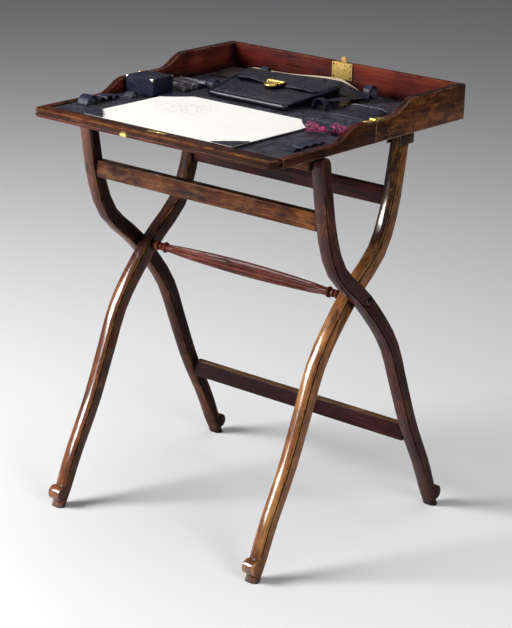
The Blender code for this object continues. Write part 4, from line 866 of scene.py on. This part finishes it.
# a grid over an area, each point put at the height that is given for it
def gridSheet(corner, size, across, along, height):
    bm = bmesh.new()
    bmesh.ops.create_grid(bm, x_segments=across, y_segments=along, size=0.5)
    for v in bm.verts:
        x, y = corner[0] + size[0] * (v.co.x + 0.5), corner[1] + size[1] * (v.co.y + 0.5)
        v.co = Vector((x, y, height(x, y)))
    return bm


def closeBelow(bm, level):
    for v in only(pull(bm, bm.faces[:])):
        v.co.z = level


# leather linings: sheets with ripples, stronger in the corners where the hide has come loose
lining = {"cell": 0.0031, "ripple": 0.000176, "fold": 0.0046, "skin": 0.0001, "sideHem": 0.006, "endHem": 0.004}


def liningSheet(nodeName, s, looseness):
    low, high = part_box(nodeName)
    size = high - low

    def height(x, y):
        drift = noise.noise((x * 14, y * 30, 3.0)) * 0.03 - 0.9 * x
        ridge = 1 - abs(math.sin((y + drift) * 135 + 2 * noise.noise((x * 20, y * 8, 1.0))))
        hem = (size.x / 2 - abs(x - (low.x + high.x) / 2)) / s["sideHem"]
        edge = unit(min(hem, (y - low.y) / s["endHem"], (high.y - y) / s["endHem"]))
        ripple = s["ripple"] * noise.noise((x * 60, y * 60, 5.0))
        return high.z - s["skin"] + ripple + s["fold"] * ridge ** 2 * looseness(x, y) * edge
    bm = gridSheet(low, size, int(size.x / s["cell"]), int(size.y / s["cell"]), height)
    closeBelow(bm, low.z + s["skin"])
    addPiece(nodeName + "_sheet", bm, "liningHide", "leather", nodeName, smooth=50)


def frontLoose(x, y):
    return unit((x - 0.155) / 0.015) * unit((y + 0.075) / 0.03) * 0.5


def rearLoose(x, y):
    underStrap = 0.085 < x < 0.19 and 0.05 < y < 0.126
    return unit((x - 0.088) / 0.02) * unit((0.20 - y) / 0.05) * (0.25 if underStrap else 1.0)


liningSheet("front_lining", lining, frontLoose)
liningSheet("rear_lining", lining, rearLoose)

# blotter: covered board, cockled paper and four sewn corners, reaching to the lip
blotter = {"cockle": 0.00028, "most": 0.00045, "paper": 0.0006, "left": 0.0080, "right": -0.0030,
           "front": 0.0090, "corner": 0.042, "bow": 0.0012, "puff": [(0.0022, 0.00035), (0.004, 0.0002)],
           "seam": 0.0018}
boardLow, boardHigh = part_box("blotter_board")


def spreadPoint(co, s):
    aside = -s["left"] if co.x < 0 else s["right"]
    near = (boardHigh.y - co.y) / (boardHigh.y - boardLow.y)
    return Vector((co.x + aside * abs(co.x) / boardHigh.x, co.y - s["front"] * near, co.z))


def spread(bm, s):
    for v in bm.verts:
        v.co = spreadPoint(v.co, s)


def paperSheet(s):
    low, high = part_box("blotting_paper")

    def height(x, y):
        lift = s["cockle"] * (0.5 + noise.noise((x * 22, y * 26, 2.0)))
        return high.z - s["paper"] / 2 + min(lift, s["most"])
    bm = gridSheet(low, high - low, 60, 42, height)
    spread(bm, s)
    pull(bm, bm.faces[:], (0, 0, -s["paper"]))
    addPiece("blottingSheet", bm, "paper", "paper", "blotting_paper", smooth=50)


def puffTop(bm, steps, up=Vector((0, 0, 1))):
    tops = [f for f in bm.faces if f.normal.dot(up) > 0.97]
    reach = max(f.calc_center_median().dot(up) for f in tops)
    tops = [f for f in tops if f.calc_center_median().dot(up) > reach - 0.0004]
    for inset, lift in steps:
        bmesh.ops.inset_region(bm, faces=tops, thickness=inset, use_even_offset=True)
        bmesh.ops.translate(bm, verts=vertsOf(tops), vec=up * lift)


# waxed stitches laid along a line of points
stitch = {"pitch": 0.0032, "long": 0.0022, "wide": 0.00045}
stitchBall = bmesh.new()
bmesh.ops.create_uvsphere(stitchBall, u_segments=6, v_segments=4, radius=0.5)
stitchStamp = meshOf("stitchStamp", stitchBall)


def sewLine(bm, points, s=stitch):
    for a, b in zip(points, points[1:]):
        count = max(int((b - a).length / s["pitch"]), 1)
        turn = (b - a).to_track_quat("X", "Z").to_matrix().to_4x4()
        shape = Matrix.Diagonal((s["long"], s["wide"], s["wide"], 1))
        for i in range(count):
            stamp(bm, stitchStamp, Matrix.Translation(a.lerp(b, (i + 0.5) / count)) @ turn @ shape)


def topCorner(nodeName, sx, sy):
    low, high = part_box(nodeName)
    return Vector((high.x if sx > 0 else low.x, high.y if sy > 0 else low.y, high.z))


def blotterCorner(nodeName, sx, sy, stitches, s):
    low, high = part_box(nodeName)
    outer = spreadPoint(topCorner(nodeName, sx, sy), s)

    def rim(share, i, inset, up):
        along, bow = s["corner"] * share, s["bow"] * math.sin(math.pi * i / 8) - inset
        return outer + Vector((-sx * (along + bow), -sy * (s["corner"] - along + bow), up))
    bm = bmesh.new()
    outline = [outer] + [rim(i / 8, i, 0.0, 0.0) for i in range(9)]
    flap = bm.faces.new([bm.verts.new(p) for p in outline])
    pull(bm, [flap], (0, 0, low.z - high.z))
    faceOut(bm)
    puffTop(bm, s["puff"])
    easeEdges(bm, 0.0003, 50)
    addPiece(nodeName + "_flap", bm, "strapHide", "leather", nodeName)
    sewLine(stitches, [rim(0.04 + 0.92 * i / 8, i, s["seam"], 0.00012) for i in range(1, 8)])


dress("blotter_board", "liningHide", "leather", 0.0007, name="coveredBoard",
      change=lambda bm: spread(bm, blotter))
paperSheet(blotter)
cornerStitches = bmesh.new()
for end, sy in (("front", -1), ("rear", 1)):
    for side, sx in (("left", -1), ("right", 1)):
        blotterCorner("blotter_corner_" + end + "_" + side, sx, sy, cornerStitches, blotter)
addPiece("cornerStitches", cornerStitches, "stitch", "leather", body="front_leaf", outward=False)
print("linings and blotter done")

# inkwell: covered case and lid with tooled panels and pale metal corners
inkwell = {"cap": 0.0048, "proud": 0.00025, "capWall": 0.0003, "capRound": 0.0007,
           "panel": [(0.0034, 0), (0.0005, -0.00025), (0.0005, 0.00025)]}


def inkwellCap(s, sx, sy):
    size = s["cap"]
    corner = topCorner("inkwell_lid", sx, sy) + Vector((sx, sy, 1)) * s["proud"]
    one = bmesh.new()
    bmesh.ops.create_cube(one, size=size, matrix=Matrix.Translation((-size / 2,) * 3))
    inner = [f for f in one.faces if f.normal.dot(Vector((1, 1, 1))) < 0]
    bmesh.ops.delete(one, geom=inner, context="FACES")
    bmesh.ops.bisect_plane(one, geom=whole(one), plane_co=(-size * 0.5, -size * 0.5, 0), plane_no=(1, 1, 0.9),
                           clear_inner=True)
    bmesh.ops.bevel(one, geom=[e for e in one.edges if len(e.link_faces) == 2], offset=s["capRound"],
                    affect="EDGES", segments=3, profile=0.5, material=-1)
    faceOut(one)
    bmesh.ops.solidify(one, geom=one.faces[:], thickness=s["capWall"])
    bmesh.ops.transform(one, verts=one.verts,
                        matrix=Matrix.Translation(corner) @ Matrix.Diagonal((sx, sy, 1, 1)))
    return meshOf("cap", one)


def inkwellPieces(s):
    dress("inkwell_case", "boxHide", "leather", 0.0006, 60, "inkwellCase")
    dress("inkwell_lid", "boxHide", "leather", 0.0005, 60, "inkwellLid", lambda bm: puffTop(bm, s["panel"]))
    caps = bmesh.new()
    for sx in (-1, 1):
        for sy in (-1, 1):
            caps.from_mesh(inkwellCap(s, sx, sy))
    addPiece("inkwellCorners", caps, "paleMetal", "brass", body="inkwell_lid")


inkwellPieces(inkwell)

# tassels: a wound head and loose curls of thread over a dark core, whose dark colour is painted shade among the
# threads, in the shape of the CAD solid
tassel = {"threads": 104, "thick": 0.00050, "steps": 10, "curl": (0.0018, 0.0046), "head": 0.004, "rings": 18,
          "neck": [(0.0, 0.0), (0.0, 0.0016), (0.0012, 0.0030)], "collar": [(0.0072, 0.0034), (0.0085, 0.0038)]}


def tasselRadius(share, reach):
    return reach * (0.42 + 0.52 * min(share / 0.8, 1.0))


def spunShape(bm, outline, middle, steps):
    last, edges = None, []
    for x, r in outline:
        vert = bmesh.ops.create_vert(bm, co=(x, middle.y + r, middle.z))["vert"][0]
        if last:
            edges.append(bm.edges.new((last, vert)))
        last = vert
    spin(bm, edges, middle, (1, 0, 0), math.tau, steps, True)


def tasselCore(nodeName, s, headX, length, middle, reach, seed):
    outline = []
    for i in range(s["rings"] + 1):
        t = i / s["rings"]
        radius = 0.74 * tasselRadius(t, reach) * (0.92 + 0.08 * (i % 2))
        outline.append((headX - length * t, radius if 0 < t < 0.94 else 0.0))
    core = bmesh.new()
    spunShape(core, outline, middle, 18)
    wobble(core, 0.0012, 220, seed)
    addPiece(nodeName + "_core", core, "darkSilk", "silk", nodeName, smooth=60)


def tasselPiece(nodeName, s, seed):
    low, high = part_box(nodeName)
    middle = (low + high) / 2
    reach = (high.z - low.z) / 2
    dice = random.Random(seed)
    headX = high.x - s["head"]
    length = headX - low.x
    tasselCore(nodeName, s, headX, length, middle, reach, seed)
    bm = bmesh.new()
    for k in range(s["threads"]):  # each thread is a ring of five led round a curl
        share = dice.uniform(0.06, 0.97)
        angle = dice.uniform(0, math.tau)
        radius = tasselRadius(share, reach) * dice.uniform(0.62, 0.95)
        start = Vector((headX - length * share, middle.y + radius * math.cos(angle),
                        middle.z + radius * math.sin(angle)))
        axis = Vector((dice.uniform(-1, 1), dice.uniform(-1, 1), dice.uniform(-1, 1))).normalized()
        side = axis.orthogonal().normalized()
        edges = ringEdges(bm, start, axis.cross(side), s["thick"], 5)
        centre = start + side * dice.uniform(*s["curl"])
        turned = dice.uniform(2.4, 5.2)
        last = spin(bm, edges, centre, axis, turned, s["steps"], False, axis * dice.uniform(0.0001, 0.0006))
        bmesh.ops.edgeloop_fill(bm, edges=last)
    for v in bm.verts:
        off = Vector((0, v.co.y - middle.y, v.co.z - middle.z))
        most = tasselRadius(unit((headX - v.co.x) / length), reach)
        if off.length > most:  # strays come back most of the way
            off *= (most + 0.25 * (off.length - most)) / off.length
        v.co = Vector((min(max(v.co.x, low.x - 0.0010), headX), middle.y + off.y,
                       max(middle.z + off.z, low.z + 0.0002)))
    wound = [(0.0012 + 0.0006 * i, 0.0043 + 0.0004 * (i % 2)) for i in range(1, 9)]
    spunShape(bm, [(high.x - back, r) for back, r in s["neck"] + wound + s["collar"]], middle, 16)
    addPiece(nodeName + "_silk", bm, "silk", "silk", nodeName, smooth=60)


tasselPiece("tassel_left", tassel, 11)
tasselPiece("tassel_right", tassel, 23)
low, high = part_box("tassel_right")
bead = bmesh.new()
bmesh.ops.create_uvsphere(bead, u_segments=16, v_segments=10, radius=0.0030,
                          matrix=Matrix.Translation((high.x - 0.0045, low.y + 0.0015, fitZ + 0.0031)))
bmesh.ops.scale(bead, vec=(1, 1, 0.86), verts=bead.verts, space=Matrix.Translation((0, 0, -fitZ)))
addPiece("tasselBead", bead, "brass", "brass", body="front_leaf")
print("inkwell and tassels done")

# wallet: lower cover, pleated gusset, sloping upper cover, flap, clasp and piping
wallet = {"frontHalf": 0.083, "rearHalf": 0.100, "frontRise": 0.010, "rearRise": 0.024, "cover": 0.0022,
          "corner": 0.006, "pleats": 3, "tuck": 0.0042, "pipe": 0.0016}
walletLow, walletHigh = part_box("wallet_body")
cover = wallet["cover"]


def walletPoint(across, along, up, lift=0.0, s=wallet):
    t = unit(along)
    half = s["frontHalf"] + (s["rearHalf"] - s["frontHalf"]) * t
    rise = s["frontRise"] + (s["rearRise"] - s["frontRise"]) * t
    middle = (walletLow.x + walletHigh.x) / 2
    y = walletLow.y + (walletHigh.y - walletLow.y) * t
    return Vector((middle + across * half, y, fitZ + up * rise)) + Vector((0, 0, lift))


def walletCover(name, up, under, over, edge):
    bm = bmesh.new()
    bmesh.ops.create_cube(bm, size=2)
    upright = [e for e in bm.edges if abs(e.verts[0].co.z - e.verts[1].co.z) > 1]
    for v in bm.verts:
        v.co = walletPoint(v.co.x, (v.co.y + 1) / 2, up, over if v.co.z > 0 else under)
    bmesh.ops.bevel(bm, geom=upright, offset=wallet["corner"], affect="EDGES", segments=6, profile=0.5,
                    material=-1)
    easeEdges(bm, edge, 50, 3)
    addPiece(name, bm, "walletHide", "leather", "wallet_body")


def walletGusset(s):
    bm = bmesh.new()
    bmesh.ops.create_grid(bm, x_segments=1, y_segments=1, size=1)
    base = bm.faces[:]
    levels = 2 * s["pleats"] + 1
    tucks = [s["tuck"] * (0.45 if i % 2 else 1.0) for i in range(levels)]
    for i in range(1, levels):
        grown = pull(bm, base, (0, 0, 1))
        if i > 1:
            bmesh.ops.delete(bm, geom=base, context="FACES_ONLY")
        base = only(grown, "Face")
    for v in bm.verts:
        level = round(v.co.z)
        side = math.copysign(1, v.co.x)
        along = (v.co.y + 1) / 2
        at = walletPoint(side, along, 0)
        roof = walletPoint(side, along, 1).z - cover * 0.6
        at.z = at.z + cover * 0.6 + (roof - at.z - cover * 0.6) * level / (levels - 1)
        at.x -= side * tucks[level]
        at.y += tucks[level] * (1 if along < 0.5 else -1)
        v.co = at
    easeEdges(bm, 0.0006, 25, 2)
    addPiece("walletGusset", bm, "walletHide", "leather", "wallet_body", smooth=50)


walletCover("walletLower", 0, 0.0, cover, 0.0008)
walletCover("walletUpper", 1, -cover, 0.0, 0.0009)
walletGusset(wallet)
piping, walletStitches = bmesh.new(), bmesh.new()
for side in (-1, 1):
    line = [walletPoint(side * 0.985, 0.03 + 0.94 * i / 14, 1, 0.0004) for i in range(15)]
    tube(piping, line, wallet["pipe"])
    sewLine(walletStitches, [walletPoint(side * 0.965, along, 1, 0.0001) for along in (0.05, 0.5)])
sewLine(walletStitches, [walletPoint(across, 0.028, 1, 0.0001) for across in (-0.94, 0.94)])
addPiece("walletPiping", piping, "strapHide", "leather", body="rear_leaf", smooth=50)

# wallet flap: puffed, its front edge lifted on both sides of the clasp, with a seam along its edge
flap = {"left": 0.0034, "right": 0.0016, "clasp": -0.036, "cuts": 24, "seamUp": 0.0031, "seamStep": 0.006,
        "puff": [(0.0024, 0.0003), (0.0030, 0.0005), (0.0060, 0.0003)], "seamRear": (0.0032, 0.004),
        "seamTurn": [(0.0032, 0.016), (0.0078, 0.0074), (0.0165, 0.0034)]}
flapLow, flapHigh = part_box("wallet_flap")
slope = math.atan2(wallet["rearRise"] - wallet["frontRise"], walletHigh.y - walletLow.y)
slopeUp = Vector((0, -math.sin(slope), math.cos(slope)))


def flapLift(x, y, s=flap):
    forward = min(max((flapHigh.y - y) / (flapHigh.y - flapLow.y) - 0.3, 0.0) / 0.7, 1.0)
    if x < s["clasp"]:
        side, share = s["left"], (s["clasp"] - x) / (s["clasp"] - flapLow.x)
    else:
        side, share = s["right"], (x - s["clasp"]) / (flapHigh.x - s["clasp"])
    return slopeUp * (side * forward ** 2 * math.sin(math.pi * unit((share - 0.16) / 0.84)) ** 2)


def walletFlap(s):
    bm = copyNode("wallet_flap")
    puffTop(bm, s["puff"], slopeUp)
    easeEdges(bm, 0.0008, 45, 3)
    size = flapHigh - flapLow
    for k in range(1, s["cuts"]):  # cuts across and along give the flap enough points to bend
        for place, facing in (((flapLow.x + size.x * k / s["cuts"], 0, 0), (1, 0, 0)),
                              ((0, flapLow.y + size.y * k / s["cuts"], 0), (0, 1, 0))):
            bmesh.ops.bisect_plane(bm, geom=whole(bm), plane_co=place, plane_no=facing)
    for v in bm.verts:
        v.co += flapLift(v.co.x, v.co.y)
    addPiece("walletFlap", bm, "walletHide", "leather", "wallet_flap", smooth=60)


def flapSeam(s):
    half = [(s["seamRear"][0], flapHigh.y - s["seamRear"][1])] + [(i, flapLow.y + y) for i, y in s["seamTurn"]]
    seam = [Vector((flapLow.x + i, y, 0)) for i, y in half]
    seam += [Vector((flapHigh.x - i, y, 0)) for i, y in reversed(half)]
    bm = bmesh.new()
    for a, b in zip(seam, seam[1:]):
        count = max(int((b - a).length / s["seamStep"]), 1)
        row = [a.lerp(b, i / count) for i in range(count + 1)]
        for p in row:
            p.z = walletPoint(0, (p.y - walletLow.y) / (walletHigh.y - walletLow.y), 1).z + s["seamUp"]
        sewLine(bm, [p + flapLift(p.x, p.y) for p in row])
    addPiece("flapStitches", bm, "stitch", "leather", body="wallet_flap", outward=False)


walletFlap(flap)
addPiece("walletStitches", walletStitches, "stitch", "leather", body="rear_leaf", outward=False)
flapSeam(flap)

# clasp: plate on the flap, a raised bar across it, a rounded tongue before the flap's edge and two knobs
clasp = {"bar": (0.035, 0.0052, 0.0032), "barBack": 0.0070, "tongue": (0.0125, 0.0088, 0.0038),
         "tongueFront": 0.0088, "stud": 0.0019, "studAt": (0.0125, -0.0008, 0.0006), "seat": 0.0011}


def claspPiece(s):
    bm = copyNode("wallet_clasp")
    low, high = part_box("wallet_clasp")
    easeEdges(bm, 0.0005, 40, 3)
    addPiece("claspPlate", bm, "darkBrass", "brass", "wallet_clasp")
    bm = bmesh.new()
    seat = Matrix.Translation((low + high) / 2 + slopeUp * s["seat"]) @ Matrix.Rotation(slope, 4, "X")
    bar, tongue = bmesh.new(), bmesh.new()
    bmesh.ops.create_cube(bar, size=1, matrix=Matrix.Diagonal((*s["bar"], 1)))
    easeEdges(bar, 0.0009, 40, 3)
    bmesh.ops.create_uvsphere(tongue, u_segments=24, v_segments=12, radius=1)
    bmesh.ops.scale(tongue, vec=s["tongue"], verts=tongue.verts)
    shapes = [(bar, (0, s["barBack"], s["bar"][2] * 0.32)), (tongue, (0, -s["tongueFront"], 0))]
    for side in (-1, 1):
        knob = bmesh.new()
        bmesh.ops.create_uvsphere(knob, u_segments=12, v_segments=8, radius=s["stud"])
        shapes.append((knob, (side * s["studAt"][0], *s["studAt"][1:])))
    for one, place in shapes:
        stamp(bm, meshOf("claspShape", one), seat @ Matrix.Translation(place))
    addPiece("walletClasp", bm, "brass", "brass", "wallet_clasp")


claspPiece(clasp)

# the rolled edge in front of the wallet and the rolled strap by the left pocket
roll = {"start": 0.55, "swell": 0.40, "pieces": 36, "steps": 18, "mouth": 0.45, "turnIn": 0.0012}


def rolledEdge(nodeName, look, sag, seed, s=roll):
    low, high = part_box(nodeName)
    middle = (low + high) / 2
    radius = (high.z - low.z) / 2
    bm = bmesh.new()
    y = middle.y + radius * s["start"]
    edges = bandEdge(bm, (low.x, y, middle.z), (high.x, y, middle.z), s["pieces"])
    for v in bm.verts:
        inset = min(v.co.x - low.x, high.x - v.co.x)
        swell = s["start"] + s["swell"] * min(1.0, inset / (radius * 0.9)) ** 0.5
        v.co.y = middle.y + radius * (swell + sag * noise.noise((v.co.x * 70, seed, 0)))
    spin(bm, edges, middle, (1, 0, 0), math.tau, s["steps"], True)
    for x, way in ((low.x, 1), (high.x, -1)):  # rolled ends turn in
        rim = [e for e in bm.edges if e.is_boundary and abs(e.verts[0].co.x - x) < 0.0002]
        fresh = only(bmesh.ops.extrude_edge_only(bm, edges=rim)["geom"])
        bmesh.ops.scale(bm, vec=(1, s["mouth"], s["mouth"]), verts=fresh, space=Matrix.Translation(-middle))
        bmesh.ops.translate(bm, verts=fresh, vec=(way * s["turnIn"], 0, 0))
        rim = [e for e in bm.edges if e.is_boundary and all(v in fresh for v in e.verts)]
        bmesh.ops.edgeloop_fill(bm, edges=rim)
    wobble(bm, 0.0003, 60, seed)
    addPiece(nodeName + "_leather", bm, look, "leather", nodeName, smooth=50)


rolledEdge("wallet_roll", "rollHide", 0.05, 2.0)
# the rolled strap's pale leather is a painted highlight along its top
rolledEdge("pen_roll", "glintHide", 0.08, 6.0)

# pockets: soft pouches that rise from a sewn front edge to a rolled mouth at the rear
pockets = {"left_pocket": {"look": "pocketHide", "seed": 3.0,
                           "rolls": ((-0.50, 0.42, 0.60), (0.10, 0.23, 0.80), (0.60, 0.29, 0.96))},
           "right_pocket": {"look": "walletHide", "folds": 0.30, "waves": 2.6, "seed": 8.0, "lumps": 0.10}}


def pocketHeight(u, w, s):
    if "rolls" in s:  # folded over itself: place, half width and height of each roll
        ends = max(0.0, 1 - abs(u) ** 6) ** 0.5
        w -= 0.10 * noise.noise((u * 1.6, 0.3, s["seed"]))
        return ends * max(high * max(0.0, 1 - ((w - at) / half) ** 2) ** 0.5 for at, half, high in s["rolls"])
    rim = max(0.0, 1 - abs(u) ** 5) * min(1.0, (1 - w) / 0.14) * min(1.0, (1 + w) / 0.10)
    body = max(rim, 0.0) ** 0.45 * (0.30 + 0.62 * ((w + 1) / 2) ** 0.7)
    wave = math.cos(2 * s["waves"] * w + 0.9 * noise.noise((u * 1.5, w, s["seed"])))
    crease = s["folds"] * (0.5 + 0.5 * wave) ** 3
    lump = s["lumps"] * noise.noise((u * 2.2, w * 2.2, s["seed"])) * rim
    return unit(body * (1 - crease) + lump)


def pocketPouch(nodeName, s):
    low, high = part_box(nodeName)
    size = high - low

    def at(u, w):
        return Vector((low.x + size.x * (u + 1) / 2, low.y + size.y * (w + 1) / 2,
                       low.z + 0.0008 + (size.z - 0.0012) * pocketHeight(u, w, s)))
    bm = bmesh.new()
    bmesh.ops.create_grid(bm, x_segments=36, y_segments=34, size=0.5)
    for v in bm.verts:
        v.co = at(v.co.x * 2, v.co.y * 2)
    closeBelow(bm, low.z)
    soften(addPiece(nodeName + "_pouch", bm, s["look"], "leather", nodeName, smooth=60))
    if "rolls" not in s:
        # the rolled mouth in pale leather: a painted highlight along the rim
        rim = bmesh.new()
        tube(rim, [at(-0.96 + 1.92 * i / 24, 0.84) for i in range(25)], 0.0011)
        addPiece(nodeName + "_rim", rim, "glintHide", "leather", body=bodyOf(nodeName), smooth=50)


for nodeName, s in pockets.items():
    pocketPouch(nodeName, s)

# leather folder over the note paper, with a loose flap that lifts beside the wallet
folder = {"wall": 0.0011, "cover": ((-0.135, 0.0815), (0.1770, 0.2235)),
          "flap": ((0.0675, 0.1000), (0.106, 0.180)), "tail": ((-0.166, -0.1385), (0.0745, 0.0855)),
          "left": ((-0.222, -0.130), (0.158, 0.2225))}
noteLow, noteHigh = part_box("paper_stack")
paperTop = noteHigh.z


def leatherSheet(name, area, height, s, look="folderHide"):
    (x0, x1), (y0, y1) = area
    bm = gridSheet((x0, y0), (x1 - x0, y1 - y0), 24, 20,
                   lambda x, y: height((x - x0) / (x1 - x0), (y - y0) / (y1 - y0), x, y))
    faceOut(bm)
    bmesh.ops.solidify(bm, geom=bm.faces[:], thickness=s["wall"])
    sheet = soften(addPiece(name, bm, look, "leather", body="rear_leaf", smooth=50))


# the rear edge of the paper and its cover leans on the back rail, less towards the left and not at the right
def noteLift(x, y):
    rear = unit((y - 0.206) / (noteHigh.y - 0.206)) ** 1.5
    along = unit((x + 0.13) / 0.13)
    return rear * (0.008 + 0.009 * along * along * (3 - 2 * along)) * unit((0.050 - x) / 0.040)


leatherSheet("folderCover", folder["cover"], lambda a, b, x, y:
             paperTop + 0.0018 + 0.0006 * noise.noise((a * 5, b * 3, 1.0)) + noteLift(x, y), folder)
leatherSheet("folderFlap", folder["flap"], lambda a, b, x, y:
             paperTop + 0.0032 + 0.0052 * math.sin(0.5 * math.pi * (1 - b)) ** 1.5 + 0.0030 * a * a
             + 0.0016 * noise.noise((a * 3, b * 4, 6.0)) * (1 - b), folder)
leatherSheet("folderLeft", folder["left"], lambda a, b, x, y:
             fitZ + 0.0016 + 0.0034 * unit((b - 0.25) / 0.2) + 0.0010 * noise.noise((a * 4, b * 4, 9.0)),
             folder, "brownHide")
leatherSheet("strapTail", folder["tail"], lambda a, b, x, y:
             fitZ + 0.0052 - 0.0030 * a + 0.0012 * math.sin(math.pi * b), folder, "strapHide")

# note paper: loose sheets, each a little askew, the top one ragged at its ends
noteStack = {"sheets": 6, "askew": 0.006, "inset": 0.0016, "back": 0.0012, "ragged": 0.001}


def notePaper(s):
    low, high = noteLow, noteHigh
    size = high - low
    bm = bmesh.new()
    step = size.z / s["sheets"]
    for k in range(s["sheets"]):
        before = len(bm.verts)
        bmesh.ops.create_grid(bm, x_segments=40, y_segments=8, size=0.5)
        bm.verts.ensure_lookup_table()
        inset, back = s["inset"] * (k % 3), s["back"] * ((k * 2) % 3)
        ragged = s["ragged"] if k == s["sheets"] - 1 else 0.0
        for v in bm.verts[before:]:
            x = low.x + inset + (size.x - 2 * inset - 0.002) * (v.co.x + 0.5) + ragged * rng.random()
            y = low.y + back + (size.y - 0.004) * (v.co.y + 0.5)
            y += (x - (low.x + high.x) / 2) * s["askew"] * math.sin(k * 1.7)
            wave = 0.3 * step * noise.noise((x * 30, y * 40, k))
            v.co = Vector((x, y, low.z + step * (k + 0.55) + wave + noteLift(x, y)))
    faceOut(bm)
    bmesh.ops.solidify(bm, geom=bm.faces[:], thickness=step * 0.4)
    addPiece("noteSheets", bm, "notePaper", "note_paper", "paper_stack")


notePaper(noteStack)
print("wallet, pockets and paper done")
